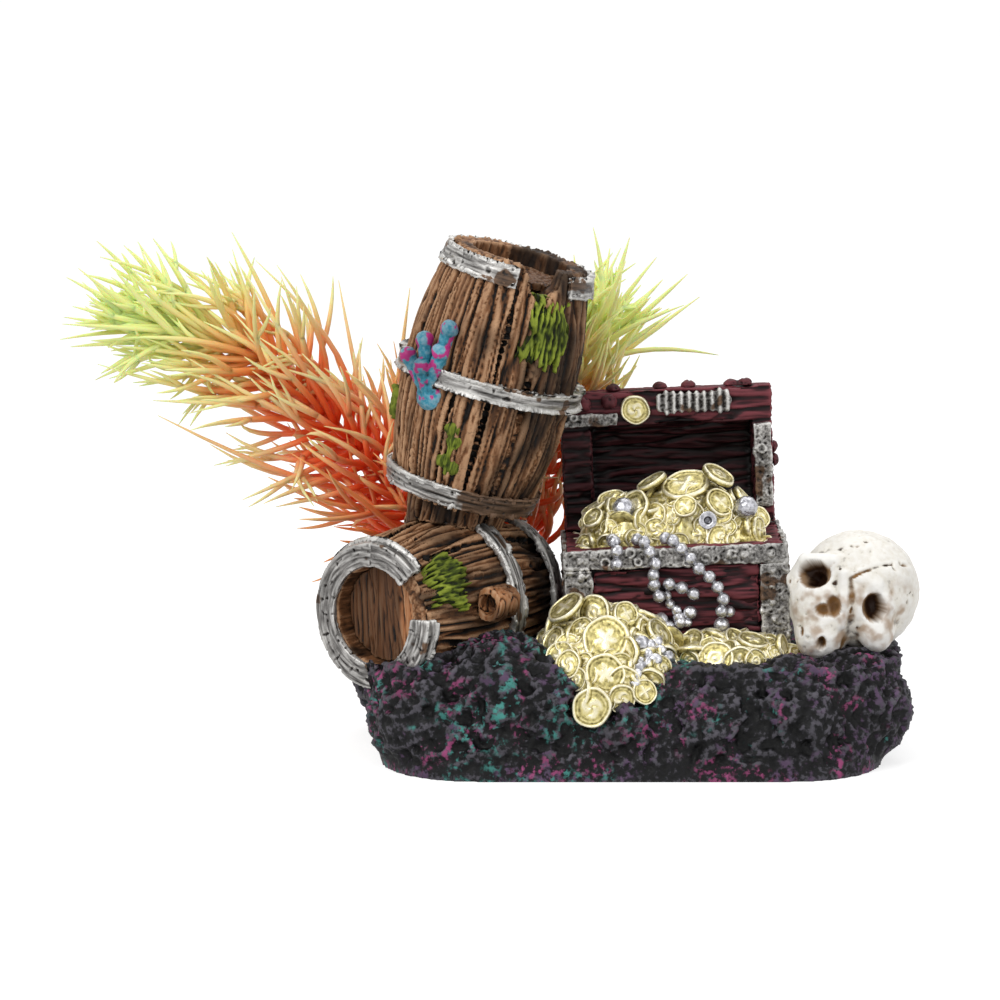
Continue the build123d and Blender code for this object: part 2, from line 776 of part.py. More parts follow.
def make_treasure():
    """The heap in the chest, the spill down the rock, and everything that lies on them."""
    make_coins("spill_coins", spill_places)
    make_coins("heap_coins", heap_places)
    ring_plane = Plane(origin=chest.from_local_coords(Vector(*ring_bead_place)), z_dir=facing(-6, 10))
    with BuildPart() as ring:
        add(disc(ring_plane, ring_bead_radius, ring_bead_length))
        with BuildSketch(ring_plane.offset(ring_bead_length / 2)):
            Circle(ring_bead_hole)
        extrude(amount=-1.2, mode=Mode.SUBTRACT)
    save(ring, "ring_bead")
    balls = [chest.from_local_coords(Vector(*place)) for place in silver_ball_places]
    with BuildPart() as silver_balls:
        with Locations(*balls):
            Sphere(silver_ball_radius)
    save(silver_balls, "silver_balls")
    with BuildPart() as nuggets:
        for x, y, z, radius in nugget_places:
            with Locations((x, y, z)):
                Sphere(radius)
    save(nuggets, "silver_nuggets")

    inner = (chest_width - 2 * chest_wall - 2 * glue_gap, chest_depth - 2 * chest_wall - 2 * glue_gap)
    with BuildPart() as heap:
        with BuildSketch(chest.offset(chest_floor + glue_gap)):
            Rectangle(*inner)
        extrude(amount=heap_fill_height - chest_floor)
        for mound in heap_mounds:
            add(ellipsoid(*mound))
        with BuildSketch(chest.offset(chest_floor + glue_gap)):
            Rectangle(*inner)
        extrude(amount=2 * chest_height, mode=Mode.INTERSECT)
        with BuildSketch(lid_side):
            add(lid_profile(lid_rim_y - heap_margin, lid_crown_y, -heap_margin, lid_height, lid_arch_rise))
        extrude(amount=chest_width, mode=Mode.SUBTRACT)
        add(stone_bore(glue_gap), mode=Mode.SUBTRACT)
        for plane, radius in heap_places:
            add(disc(plane, radius + glue_gap, coin_thickness + 2 * glue_gap), mode=Mode.SUBTRACT)
        add(disc(ring_plane, ring_bead_radius + glue_gap, ring_bead_length + 2 * glue_gap), mode=Mode.SUBTRACT)
        with Locations(*balls):
            Sphere(silver_ball_radius + glue_gap, mode=Mode.SUBTRACT)
    save(heap, "treasure_heap")

    with BuildPart() as spill:
        for mound in spill_mounds:
            add(ellipsoid(*mound))
        with BuildSketch(Plane.XY.offset(spill_low)):
            Rectangle(2 * terrace_size[0], 2 * terrace_size[1])
        extrude(amount=2 * terrace_height, mode=Mode.INTERSECT)
        add(rock_part, mode=Mode.SUBTRACT)
        add(chest_block(rivet_radius + glue_gap), mode=Mode.SUBTRACT)
        add(lying_seat, mode=Mode.SUBTRACT)
        for plane, radius in spill_places:
            add(disc(plane, radius + glue_gap, coin_thickness + 2 * glue_gap), mode=Mode.SUBTRACT)
        for x, y, z, radius in nugget_places:
            with Locations((x, y, z)):
                Sphere(radius + glue_gap, mode=Mode.SUBTRACT)
    save(spill, "coin_spill")


def make_coins(name, places):
    """Loose coins, each a separate disc."""
    with BuildPart() as coins:
        for plane, radius in places:
            add(disc(plane, radius, coin_thickness))
    save(coins, name)


# ================================================================ skull
skull = Plane(origin=skull_centre, x_dir=skull_side, z_dir=skull_front)


def skull_form(grow):
    """Cranium and upper face, grown all round for the seat in the rock."""
    radii = (cranium_radius + grow, cranium_radius + grow, cranium_half_length + grow)
    cranium = skull.location * ellipsoid((0, 0, -cranium_back), radii)
    with BuildPart() as form:
        add(cranium)
        face = Plane(
            origin=skull.from_local_coords(Vector(0, face_top + grow, face_forward)),
            x_dir=skull.x_dir,
            z_dir=-skull.y_dir,
        )
        drop = face_top - face_bottom + 2 * grow
        with BuildSketch(face):
            RectangleRounded(cheek_width + 2 * grow, face_depth + 2 * grow, cheek_corner)
        with BuildSketch(face.offset(midface_share * drop)):
            RectangleRounded(cheek_share * cheek_width + 2 * grow, face_depth + 2 * grow, cheek_corner)
        with BuildSketch(face.offset(drop)):
            RectangleRounded(jaw_width + 2 * grow, mouth_share * face_depth + 2 * grow, jaw_corner)
        loft()
    return form.part


def make_skull():
    """A jawless skull with eye sockets and a nose opening."""
    brow = face_forward + face_depth / 2
    with BuildPart() as bone:
        add(skull_form(0))
        eyes = [skull.from_local_coords(Vector(side * eye_spacing / 2, 0.5, brow)) for side in (-1, 1)]
        with Locations(*eyes):
            Sphere(eye_radius, mode=Mode.SUBTRACT)
        with Locations(skull.from_local_coords(Vector(0, -4.6, brow))):
            Sphere(nose_radius, mode=Mode.SUBTRACT)
    save(bone, "skull")


# ================================================================ air line
def make_air_line():
    """Barbed inlet at the back, tube through the rock, and the air stone among the coins."""
    back = Plane(origin=(air_x, air_face_y, air_height), x_dir=(-1, 0, 0), z_dir=(0, 1, 0))
    with BuildPart() as tube:
        add(duct(tube_outer_radius, air_face_y, tube_top))
        add(duct(tube_inner_radius, air_face_y, tube_top), mode=Mode.SUBTRACT)
    save(tube, "air_tube")
    with BuildPart() as nipple:
        with BuildSketch(back.offset(glue_gap)):
            Circle(nipple_flange_radius)
        extrude(amount=nipple_flange_thickness)
        with BuildSketch(back.offset(glue_gap + nipple_flange_thickness)):
            Circle(nipple_radius)
        extrude(amount=nipple_length)
        for share in barb_places:
            with BuildSketch(back.offset(nipple_flange_thickness + share * nipple_length)):
                Circle(nipple_radius + nipple_barb)
            extrude(amount=barb_length, taper=barb_taper)
        with BuildSketch(back):
            Circle(tube_inner_radius)
        extrude(amount=nipple_length + 2 * nipple_flange_thickness, mode=Mode.SUBTRACT)
    save(nipple, "air_nipple")
    with BuildPart() as stone:
        with BuildSketch(stone_foot):
            Circle(air_stone_radius)
        extrude(amount=air_stone_length)
        with BuildSketch(stone_foot):
            Circle(nozzle_radius)
        extrude(amount=-nozzle_length)
    save(stone, "air_stone")


# ================================================================ plants
class Plant:
    """A soft plastic plant: where it is rooted, how its stem runs, and how far it turns."""

    def __init__(self, name, root, stem, turn, side):
        self.name = name
        self.root = Vector(*root)
        self.stem = [Vector(*point) for point in stem]
        self.turn = turn
        self.side = side

    def poses(self, point):
        """A point of the plant over its whole travel."""
        arm = point - self.root
        for turn in (-self.turn, -self.turn / 2, 0, self.turn / 2, self.turn):
            c, s = cos(radians(turn)), sin(radians(turn))
            for lift in (0, plant_pull / 4, plant_pull / 2, plant_pull):
                yield self.root + Vector(c * arm.X - s * arm.Y, s * arm.X + c * arm.Y, arm.Z + lift)


plant_split = -33.0  # the two plants stay on their own sides of this x
left_plant = Plant(
    "left_plant",
    (-42.5, 31.5, boss_top),
    ((-45.5, 31.5, 43.0), (-57.0, 30.5, 58.0), (-79.0, 29.0, 79.5), (-107.0, 27.5, 89.0)),
    18.0,
    -1,
)
right_plant = Plant(
    "right_plant",
    (-23.5, 33.0, boss_top),
    ((-22.5, 34.5, 44.0), (-15.0, 37.0, 64.0), (-6.5, 36.5, 88.0)),
    10.0,
    1,
)


def in_barrel(point, foot, size):
    """True where a point is nearer to a barrel than the leaf clearance."""
    local = foot.to_local_coords(point)
    margin = hoop_thickness + leaf_clearance
    if local.Z < -margin or local.Z > size[0] + margin:
        return False
    height = min(max(local.Z, 0), size[0])
    return sqrt(local.X**2 + local.Y**2) < barrel_radius(size, height) + margin


def in_chest(point):
    """True where a point is nearer to the chest or its lid than the leaf clearance."""
    local = chest.to_local_coords(point)
    margin = strap_thickness + leaf_clearance
    if abs(local.X) > chest_width / 2 + margin or local.Z > chest_height + lid_height + 2 + margin:
        return False
    return -chest_depth / 2 - margin < local.Y < lid_crown_y + lid_arch_rise + margin


def in_rock(point):
    """True where a point is nearer to the rock than the leaf clearance."""
    margin = 2 * leaf_clearance
    inside = abs(point.X) < terrace_size[0] / 2 + margin and abs(point.Y - terrace_y) < terrace_size[1] / 2 + margin
    return point.Z < (boss_top + leaf_clearance if inside else 2)


def is_clear(plant, point):
    """True where a point of a plant meets nothing over the plant's whole travel."""
    for place in plant.poses(point):
        if (place.X - plant_split) * plant.side < leaf_clearance:
            return False
        if in_rock(place) or in_chest(place):
            return False
        if in_barrel(place, lying_foot, lying_size) or in_barrel(place, standing_plane, standing_size):
            return False
    return True


def leaf_reach(plant, root, direction, length):
    """How long a leaf may be before it meets a casting."""
    steps = 12
    reach = 0
    for step in range(1, steps + 1):
        if not is_clear(plant, root + direction * (length * step / steps)):
            break
        reach = length * step / steps
    return reach


def make_plug(plant):
    """The plug that sits in the rock, with a flange and the spigot that the plant turns on."""
    seat = Plane(origin=plant.root)
    with BuildPart() as plug:
        with BuildSketch(seat):
            Circle(plug_radius)
        extrude(amount=-plug_length)
        with BuildSketch(seat):
            Circle(plug_flange_radius)
        extrude(amount=plug_flange_thickness)
        with BuildSketch(seat.offset(plug_flange_thickness)):
            Circle(spigot_radius)
        extrude(amount=spigot_length)
    save(plug, f"{plant.name}_plug")


def make_stem(plant):
    """The hollow foot collar and the bent stem. Returns the stem's path."""
    seat = Plane(origin=plant.root).offset(plug_flange_thickness + turn_clearance)
    bore_depth = spigot_length + turn_clearance
    collar_top = seat.offset(bore_depth + foot_collar_roof)
    with BuildLine() as route:
        FilletPolyline(collar_top.origin, *plant.stem, radius=stem_bend)
    path = route.wires()[0]
    with BuildPart() as stem:
        with BuildSketch(seat):
            Circle(foot_collar_radius)
        extrude(amount=bore_depth + foot_collar_roof)
        with BuildSketch(seat):
            Circle(spigot_radius + turn_clearance)
        extrude(amount=bore_depth, mode=Mode.SUBTRACT)
        with BuildSketch(Plane(origin=path @ 0, z_dir=path % 0)):
            Circle(stem_radius)
        sweep(path=path)
    save(stem, f"{plant.name}_stem")
    return path


def make_whorl(plant, level, spread, length, twist):
    """A collar and a ring of tapered leaves, fused in one moulding."""
    along = level.z_dir
    leaves = []
    for leaf in range(leaves_per_whorl):
        angle = radians(360 / leaves_per_whorl * (leaf + twist))
        radial = level.x_dir * cos(angle) + level.y_dir * sin(angle)
        direction = along * cos(spread) + radial * sin(spread)
        step = whorl_collar_length * (0.22 if leaf % 2 else -0.22)
        root = level.origin + along * step + radial * (whorl_collar_radius - 0.3)
        reach = leaf_reach(plant, root, direction, length)
        if reach > leaf_shortest:
            foot = Plane(origin=root, z_dir=direction)
            leaves.append(Solid.make_cone(leaf_root_radius, leaf_tip_radius, reach, foot))
    with BuildPart() as whorl:
        with BuildSketch(level.offset(-whorl_collar_length / 2)):
            Circle(whorl_collar_radius)
            Circle(stem_radius + stem_clearance, mode=Mode.SUBTRACT)
        extrude(amount=whorl_collar_length)
        if leaves:
            add(leaves)
    return whorl.part


def make_leaves(plant, path):
    """Whorls threaded on the stem, fuller at the root and closer to the stem at its tip."""
    first = foot_collar_radius + whorl_collar_length
    count = int((path.length - first) / whorl_pitch) + 1
    whorls = []
    for number in range(count):
        share = (first + number * whorl_pitch) / path.length
        age = number / (count - 1)
        level = Plane(origin=path @ share, z_dir=path % share)
        spread = radians(root_spread + (tip_spread - root_spread) * age)
        length = leaf_longest - leaf_loss * abs(age - longest_at) / (1 - longest_at)
        whorls.append(make_whorl(plant, level, spread, length, number / 2))
    with BuildPart() as leaves:
        add(whorls)
    save(leaves, f"{plant.name}_leaves")


def make_plants():
    """Both plants, each a plug, a stem and its leaves."""
    for plant in (left_plant, right_plant):
        make_plug(plant)
        make_leaves(plant, make_stem(plant))


# ================================================================ rock
def make_rock():
    """The rock casting with every seat, socket and duct that is cut in it."""
    boulder_balls = [Pos(x, y, z) * Solid.make_sphere(radius) for x, y, z, radius in boulders]
    with BuildPart() as rock:
        with BuildSketch(Plane(origin=(0, rock_foot_y, 0))):
            RectangleRounded(*rock_foot_size, rock_corner_radius)
        with BuildSketch(Plane(origin=(0, terrace_y, terrace_height))):
            RectangleRounded(*terrace_size, rock_corner_radius)
        loft()
        add(boulder_balls)
        for plant in (left_plant, right_plant):
            with BuildSketch(Plane(origin=plant.root)):
                Circle(boss_radius)
            extrude(amount=-(boss_top - terrace_height) - boss_depth)
        with BuildSketch(Plane.XY):
            Rectangle(2 * terrace_size[0], 2 * terrace_size[1])
        extrude(amount=-terrace_height, mode=Mode.SUBTRACT)
        add(lying_seat, mode=Mode.SUBTRACT)
        add(chest_block(glue_gap), mode=Mode.SUBTRACT)
        add(skull_form(glue_gap), mode=Mode.SUBTRACT)
        add(duct(tube_outer_radius + bore_clearance, air_face_y + 10, tube_top + 5), mode=Mode.SUBTRACT)
        with BuildSketch(Plane(origin=(air_x, air_face_y, air_height), z_dir=(0, 1, 0))):
            Circle(nipple_flange_radius + flange_room)
        extrude(amount=20, mode=Mode.SUBTRACT)
        for plant in (left_plant, right_plant):
            with BuildSketch(Plane(origin=plant.root)):
                Circle(plug_radius + socket_clearance)
            extrude(amount=-plug_length - socket_room, mode=Mode.SUBTRACT)
        for plane, radius in spill_places:
            add(disc(plane, radius + glue_gap, coin_thickness + 2 * glue_gap), mode=Mode.SUBTRACT)
        for x, y, z, radius in nugget_places:
            with Locations((x, y, z)):
                Sphere(radius + glue_gap, mode=Mode.SUBTRACT)
    save(rock, "rock_base")
    return rock.part


make_barrels()
make_growth()
make_chest()
make_beads()
rock_part = make_rock()
make_treasure()
make_skull()
make_air_line()
make_plants()
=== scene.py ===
"""The looks of a bubbling aquarium ornament: two broken barrels, an open chest of treasure and a skull
on a rock, with two plastic plants that plug in behind them."""

import itertools
import json
import math

import bmesh
import bpy
import numpy as np
from bpy.props import FloatProperty, FloatVectorProperty, IntProperty, PointerProperty
from mathutils import Matrix, Vector
from mathutils.bvhtree import BVHTree

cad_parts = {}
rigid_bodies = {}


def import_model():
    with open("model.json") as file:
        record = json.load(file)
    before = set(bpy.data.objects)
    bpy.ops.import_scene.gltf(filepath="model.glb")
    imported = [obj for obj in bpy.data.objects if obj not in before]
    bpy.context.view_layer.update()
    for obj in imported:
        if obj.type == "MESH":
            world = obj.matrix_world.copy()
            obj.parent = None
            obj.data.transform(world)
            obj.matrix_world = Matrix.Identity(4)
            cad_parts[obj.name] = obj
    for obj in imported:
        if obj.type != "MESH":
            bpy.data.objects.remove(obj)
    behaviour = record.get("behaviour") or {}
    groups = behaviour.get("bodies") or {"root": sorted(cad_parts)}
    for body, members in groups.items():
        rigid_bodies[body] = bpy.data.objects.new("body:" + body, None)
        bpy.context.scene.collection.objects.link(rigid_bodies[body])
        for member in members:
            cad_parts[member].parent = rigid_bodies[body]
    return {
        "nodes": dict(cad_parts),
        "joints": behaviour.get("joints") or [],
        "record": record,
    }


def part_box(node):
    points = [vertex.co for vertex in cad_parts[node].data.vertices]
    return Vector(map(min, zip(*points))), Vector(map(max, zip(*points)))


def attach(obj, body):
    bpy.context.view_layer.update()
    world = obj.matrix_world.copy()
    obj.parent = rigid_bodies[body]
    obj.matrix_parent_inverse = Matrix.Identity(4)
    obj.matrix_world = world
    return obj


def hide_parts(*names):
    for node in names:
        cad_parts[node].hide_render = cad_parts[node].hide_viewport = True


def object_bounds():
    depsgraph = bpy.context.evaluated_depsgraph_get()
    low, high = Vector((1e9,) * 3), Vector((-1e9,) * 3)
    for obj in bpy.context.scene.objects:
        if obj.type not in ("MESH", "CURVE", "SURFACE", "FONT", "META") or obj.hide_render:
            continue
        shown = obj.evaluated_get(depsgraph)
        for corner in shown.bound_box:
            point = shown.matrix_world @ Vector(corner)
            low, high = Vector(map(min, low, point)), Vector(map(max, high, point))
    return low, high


bl_info = {
    "name": "Bubbling Ornament",
    "version": (1, 0, 0),
    "blender": (4, 5, 0),
    "location": "View3D > Sidebar > Ornament",
    "description": "Carves and paints a treasure ornament with an air line and two plants",
    "category": "Object",
}

MM = 0.001
CASTING = "ornament"
SIDES = ("left", "right")
PLAIN = (1.0, 1.0, 1.0)
ALONG = (8.0, 1.0, 1.0)
WHITE = (1.0, 1.0, 1.0)
BLACK = (0.0, 0.0, 0.0)

for leftover in list(bpy.data.objects):
    bpy.data.objects.remove(leftover)
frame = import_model()
cad_low, cad_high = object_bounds()


# ---------------------------------------------------------------- settings


def paint(code):
    """A linear colour from a web colour such as 0x8a6a4c."""
    parts = [(code >> shift & 255) / 255 for shift in (16, 8, 0)]
    return tuple(part / 12.92 if part <= 0.04045 else ((part + 0.055) / 1.055) ** 2.4 for part in parts)


def length(name, description, millimetres):
    """A length that a user may change."""
    return FloatProperty(name=name, description=description, default=millimetres * MM, precision=5,
                         unit="LENGTH", subtype="DISTANCE")


def angle(name, description, degrees):
    """An angle that a user may change."""
    return FloatProperty(name=name, description=description, default=math.radians(degrees),
                         unit="ROTATION", subtype="ANGLE")


def number(name, description, default):
    """A count that a user may change."""
    return IntProperty(name=name, description=description, default=default, min=0)


def amount(name, description, default):
    """A plain amount that a user may change."""
    return FloatProperty(name=name, description=description, default=default, min=0.0)


def spot(name, description, millimetres):
    """A place in the frame that a user may change."""
    return FloatVectorProperty(name=name, description=description, size=3, precision=5, unit="LENGTH",
                               subtype="TRANSLATION", default=[part * MM for part in millimetres])


def colour(name, description, code):
    """A paint that a user may change."""
    return FloatVectorProperty(name=name, description=description, size=3, min=0.0, max=1.0,
                               subtype="COLOR", default=paint(code))


class StageSettings(bpy.types.PropertyGroup):
    """The camera, the lamps and the floor."""

    aim: spot("Aim", "Point that the camera looks at", (-27.3, 0.0, 52.5))
    distance: length("Distance", "From the camera to the aim", 900.0)
    width: length("Width", "What the camera sees across at the aim", 210.0)
    elevation: angle("Elevation", "Height of the camera over the horizon", 9.0)
    sky: amount("Sky", "Light from all round", 0.62)
    key: amount("Key lamp", "Power of the main lamp in watts", 1.9)
    fill: amount("Fill lamp", "Power of the lamp opposite the main one in watts", 0.8)
    top: amount("Top lamp", "Power of the lamp over the object in watts", 0.9)
    floor: amount("Floor", "How much light the floor throws back", 0.6)
    glow: amount("Glow", "White that the camera sees over the floor", 0.66)


class RockSettings(bpy.types.PropertyGroup):
    """The rock under everything."""

    pitch: length("Pitch", "Spacing of the carved points", 0.6)
    stone: length("Stone", "Size of the lumps in the rock", 5.0)
    depth: length("Depth", "Height of the lumps", 1.0)
    plinth: length("Plinth", "Height of the smooth band at the foot", 3.0)
    dark: colour("Dark", "Paint in the cracks", 0x040405)
    base: colour("Base", "Main paint", 0x161619)
    crest: colour("Crest", "Dry-brushed paint", 0x5F5C64)
    teal: colour("Teal", "Green-blue flecks", 0x4F9A92)
    pink: colour("Pink", "Magenta flecks", 0xA34E7C)
    plum: colour("Plum", "Purple-grey flecks", 0x66506C)


class BarrelSettings(bpy.types.PropertyGroup):
    """The two barrels and the stump."""

    pitch: length("Pitch", "Spacing of the carved points", 0.38)
    staves: number("Staves", "Boards round a barrel", 15)
    uneven: length("Uneven", "How far a stave stands out or in", 0.45)
    crack: length("Crack", "Depth of the cracks along the wood", 0.9)
    fibre: length("Fibre", "Length of the wood's fibres", 26.0)
    dark: colour("Dark", "Wash in the cracks", 0x120D0A)
    base: colour("Base", "Wood paint", 0x7C5335)
    crest: colour("Crest", "Dry-brushed wood", 0xC69C78)
    board: colour("Board", "Smooth inner wood", 0xB87B50)


class SilverSettings(bpy.types.PropertyGroup):
    """Hoops, straps and other silver trim."""

    pitch: length("Pitch", "Spacing of the carved points", 0.28)
    dent: length("Dent", "Depth of the dents", 0.35)
    slim: length("Slim", "How much narrower the standing barrel's middle hoop is on each side", 0.9)
    ragged: length("Ragged", "How much narrower the other hoops are on each side", 0.2)
    dark: colour("Dark", "Wash in the pits", 0x1C1714)
    base: colour("Base", "Silver paint", 0x94918E)
    crest: colour("Crest", "Bright silver", 0xE6E4E0)
    worn: colour("Worn", "Brown under worn silver", 0x7F6450)


class ChestSettings(bpy.types.PropertyGroup):
    """The chest's wood."""

    pitch: length("Pitch", "Spacing of the carved points", 0.4)
    crack: length("Crack", "Depth of the cracks along the wood", 0.55)
    fibre: length("Fibre", "Length of the wood's fibres", 16.0)
    dark: colour("Dark", "Wash in the cracks", 0x12080A)
    base: colour("Base", "Maroon paint", 0x401A20)
    crest: colour("Crest", "Dry-brushed maroon", 0x85434A)


class TreasureSettings(bpy.types.PropertyGroup):
    """Coins, beads and nuggets."""

    pitch: length("Pitch", "Spacing of the carved points", 0.35)
    bead_pitch: length("Bead pitch", "Spacing of the points on beads", 0.2)
    bead_size: length("Bead size", "Radius of a loose bead", 1.25)
    thickness: length("Thickness", "Thickness of a loose coin", 1.2)
    smallest: length("Smallest", "Radius of the smallest loose coin", 1.5)
    largest: length("Largest", "Radius of the largest loose coin", 3.6)
    spill: number("Spill", "Loose coins on the spill", 130)
    heap: number("Heap", "Loose coins on the heap", 120)
    gold_dark: colour("Gold wash", "Paint in the coins' hollows", 0x4A3D14)
    gold: colour("Gold", "Coin paint", 0xDED08C)
    gold_crest: colour("Gold crest", "Bright edges of the coins", 0xFFF8DC)
    bead_dark: colour("Bead wash", "Paint between the beads", 0x17181C)
    bead: colour("Bead", "Bead paint", 0xAEAEB4)
    bead_crest: colour("Bead crest", "Bright side of the beads", 0xF0F0F4)


class GrowthSettings(bpy.types.PropertyGroup):
    """Moss, leaves and coral on the barrels."""

    pitch: length("Pitch", "Spacing of the carved points", 0.24)
    tuft: length("Tuft", "Height of the moss's tufts", 0.6)
    moss_dark: colour("Moss wash", "Paint between the tufts", 0x1C240A)
    moss: colour("Moss", "Moss paint", 0x56661C)
    moss_crest: colour("Moss crest", "Bright tips of the moss", 0x9AA83E)
    coral_dark: colour("Coral wash", "Paint between the polyps", 0x0C2A3C)
    coral: colour("Coral", "Polyp paint", 0x3D93AC)
    coral_tip: colour("Coral tip", "Magenta on the polyps", 0xC23A86)


class SkullSettings(bpy.types.PropertyGroup):
    """The skull beside the chest."""

    rounds: number("Rounds", "How often the first ball's faces are split", 7)
    middle: spot("Middle", "Centre of the braincase", (47.6, -5.0, 34.6))
    tilt: angle("Tilt", "How far the face looks up", 9.0)
    # dark is the wash in the cracks and also the painted shade deep in the sockets
    dark: colour("Dark", "Wash in the sockets", 0x2A170C)
    wash: colour("Wash", "Brown stain round the hollows", 0x9A7244)
    base: colour("Base", "Bone paint", 0xEDE8DD)
    crest: colour("Crest", "Pale bone", 0xFDFBF6)


class PlantSettings(bpy.types.PropertyGroup):
    """The two plastic plants."""

    pitch: length("Pitch", "Between one whorl of leaves and the next", 3.7)
    leaves: number("Leaves", "Leaves in a whorl", 10)
    first: length("First", "Bare stem below the first whorl", 9.0)
    longest: length("Longest", "Length of the longest leaf", 30.0)
    thickness: length("Thickness", "Thickness of a leaf at its foot", 1.6)
    clearance: length("Clearance", "Least gap from a leaf's middle to the casting as the plant moves", 1.7)
    root: colour("Root", "Leaf colour low on the stem", 0xFF6E38)
    middle: colour("Middle", "Leaf colour halfway", 0xFFA25E)
    pale: colour("Pale", "Leaf tips halfway", 0xFFF0B0)
    lime: colour("Lime", "Leaf colour at the stem's end", 0xF2F9A4)
    stem: colour("Stem", "Stem colour", 0xE0642A)
    plug: colour("Plug", "Plug colour", 0x3C3B3A)


class AirSettings(bpy.types.PropertyGroup):
    """The air line."""

    tube: colour("Tube", "Smoky plastic", 0x6C7074)
    grit: colour("Grit", "Air stone's grit", 0x8D8A84)


SETTINGS = {
    "stage": StageSettings,
    "rock": RockSettings,
    "barrels": BarrelSettings,
    "silver": SilverSettings,
    "chest": ChestSettings,
    "treasure": TreasureSettings,
    "growth": GrowthSettings,
    "skull": SkullSettings,
    "plants": PlantSettings,
    "air": AirSettings,
}


def settings(group):
    """The scene's own values of one group of settings."""
    return getattr(bpy.context.scene, "ornament_" + group)


# ---------------------------------------------------------------- noise

GRADIENTS = np.array([step for step in itertools.product((-1, 0, 1), repeat=3) if sum(map(abs, step)) == 2])
SHUFFLE = np.random.default_rng(11).permutation(4096)


def shuffled(cells, seed):
    """A repeatable number from 0 to 4095 for each whole-numbered cell."""
    x, y, z = cells.T
    return SHUFFLE[(SHUFFLE[(SHUFFLE[(x + seed) & 4095] + y) & 4095] + z) & 4095]


def noise(points, size, seed=0):
    """Smooth noise between about -1 and 1, in lumps of one size or of a size along each axis."""
    places = points / np.asarray(size)
    cells = np.floor(places).astype(int)
    inside = places - cells
    ease = inside**3 * (inside * (inside * 6 - 15) + 10)
    total = np.zeros(len(points))
    for corner in itertools.product((0, 1), repeat=3):
        weight = np.where(corner, ease, 1 - ease).prod(axis=1)
        slope = GRADIENTS[shuffled(cells + corner, seed) % 12]
        total += weight * (slope * (inside - corner)).sum(axis=1)
    return total


def layered(points, size, layers, seed=0):
    """Noise in layers, each half as large and half as strong as the last."""
    return sum(noise(points, np.asarray(size) / 2**layer, seed + layer) / 2**layer for layer in range(layers))


def pebbles(points, size, seed=0):
    """For each point, how far it is from the middle of the nearest scattered pebble, in pebbles."""
    places = points / size
    home = np.floor(places).astype(int)
    nearest = np.full(len(points), 9.0)
    for step in itertools.product((-1, 0, 1), repeat=3):
        cell = home + step
        middle = cell + np.stack([shuffled(cell, seed + axis) for axis in range(3)], axis=1) / 4096
        nearest = np.minimum(nearest, np.linalg.norm(places - middle, axis=1))
    return nearest


def ridge(values, width):
    """1 where values cross zero, falling to 0 about a width away."""
    return np.exp(-((values / width) ** 2))


def smooth_step(values, low, high):
    """0 below low, 1 above high and a soft step between them."""
    share = np.clip((values - low) / (high - low), 0, 1)
    return share * share * (3 - 2 * share)


# ---------------------------------------------------------------- meshes


def read(items, what, width=3, kind=np.float32):
    """An array of what each of a mesh's items holds."""
    flat = np.empty(len(items) * width, kind)
    items.foreach_get(what, flat)
    return flat.reshape(-1, width).astype(float if kind is np.float32 else int)


def node_points(node):
    """The vertices of a CAD node."""
    return read(frame["nodes"][node].data.vertices, "co")


def own_axes(points):
    """The middle of some points and their own directions, the longest spread first."""
    middle = points.mean(axis=0)
    return middle, np.linalg.svd(points - middle, full_matrices=False)[2]


def along(points, middle, direction, zero=(0.0, 0.0, -1.0)):
    """Places of points along a direction, towards zero's side of it, and along the third axis."""
    direction = np.asarray(direction) / np.linalg.norm(direction)
    zero = np.asarray(zero) - direction * np.dot(zero, direction)
    zero /= np.linalg.norm(zero)
    return (points - middle) @ np.array([direction, zero, np.cross(direction, zero)]).T


def loose_parts(node):
    """The points of each separate solid in a CAD node."""
    mesh = frame["nodes"][node].data
    spots, place = np.unique(np.round(read(mesh.vertices, "co"), 6), axis=0, return_inverse=True)
    ends = place.ravel()[read(mesh.edges, "vertices", 2, np.int32)]
    label = np.arange(len(spots))
    while True:
        lower = label.copy()
        np.minimum.at(lower, ends[:, 0], label[ends[:, 1]])
        np.minimum.at(lower, ends[:, 1], label[ends[:, 0]])
        lower = lower[lower]
        if (lower == label).all():
            return [spots[label == one] for one in np.unique(label)]
        label = lower


def fine_mesh(node, pitch):
    """An even copy of a CAD node's surface, fine enough to carve."""
    copy = frame["nodes"][node].copy()
    copy.data = copy.data.copy()
    bpy.context.scene.collection.objects.link(copy)
    even = copy.modifiers.new("even", "REMESH")
    even.mode = "VOXEL"
    even.voxel_size = pitch
    mesh = bpy.data.meshes.new_from_object(copy.evaluated_get(bpy.context.evaluated_depsgraph_get()))
    bpy.data.objects.remove(copy)
    return mesh


def relief(mesh, rounds, depth):
    """How high each point stands over the ground round it: 0 in a crack of that depth, 1 on a crest."""
    points = read(mesh.vertices, "co")
    ends = read(mesh.edges, "vertices", 2, np.int32)
    near, far = np.concatenate([ends, ends[:, ::-1]]).T
    count = np.maximum(np.bincount(near, minlength=len(points)), 1)[:, None]
    ground = points
    for _ in range(rounds):
        sums = [np.bincount(near, ground[far, axis], len(points)) for axis in range(3)]
        ground = np.stack(sums, axis=1) / count
    above = ((points - ground) * read(mesh.vertices, "normal")).sum(axis=1)
    return np.clip(0.5 + above / (2 * depth), 0, 1)


def store(mesh, name, values):
    """Keeps a number, a place or a colour in each vertex."""
    kind, field = {1: ("FLOAT", "value"), 3: ("FLOAT_VECTOR", "vector"), 4: ("FLOAT_COLOR", "color")}[
        1 if values.ndim == 1 else values.shape[1]
    ]
    mesh.attributes.new(name, kind, "POINT").data.foreach_set(field, values.astype(np.float32).ravel())


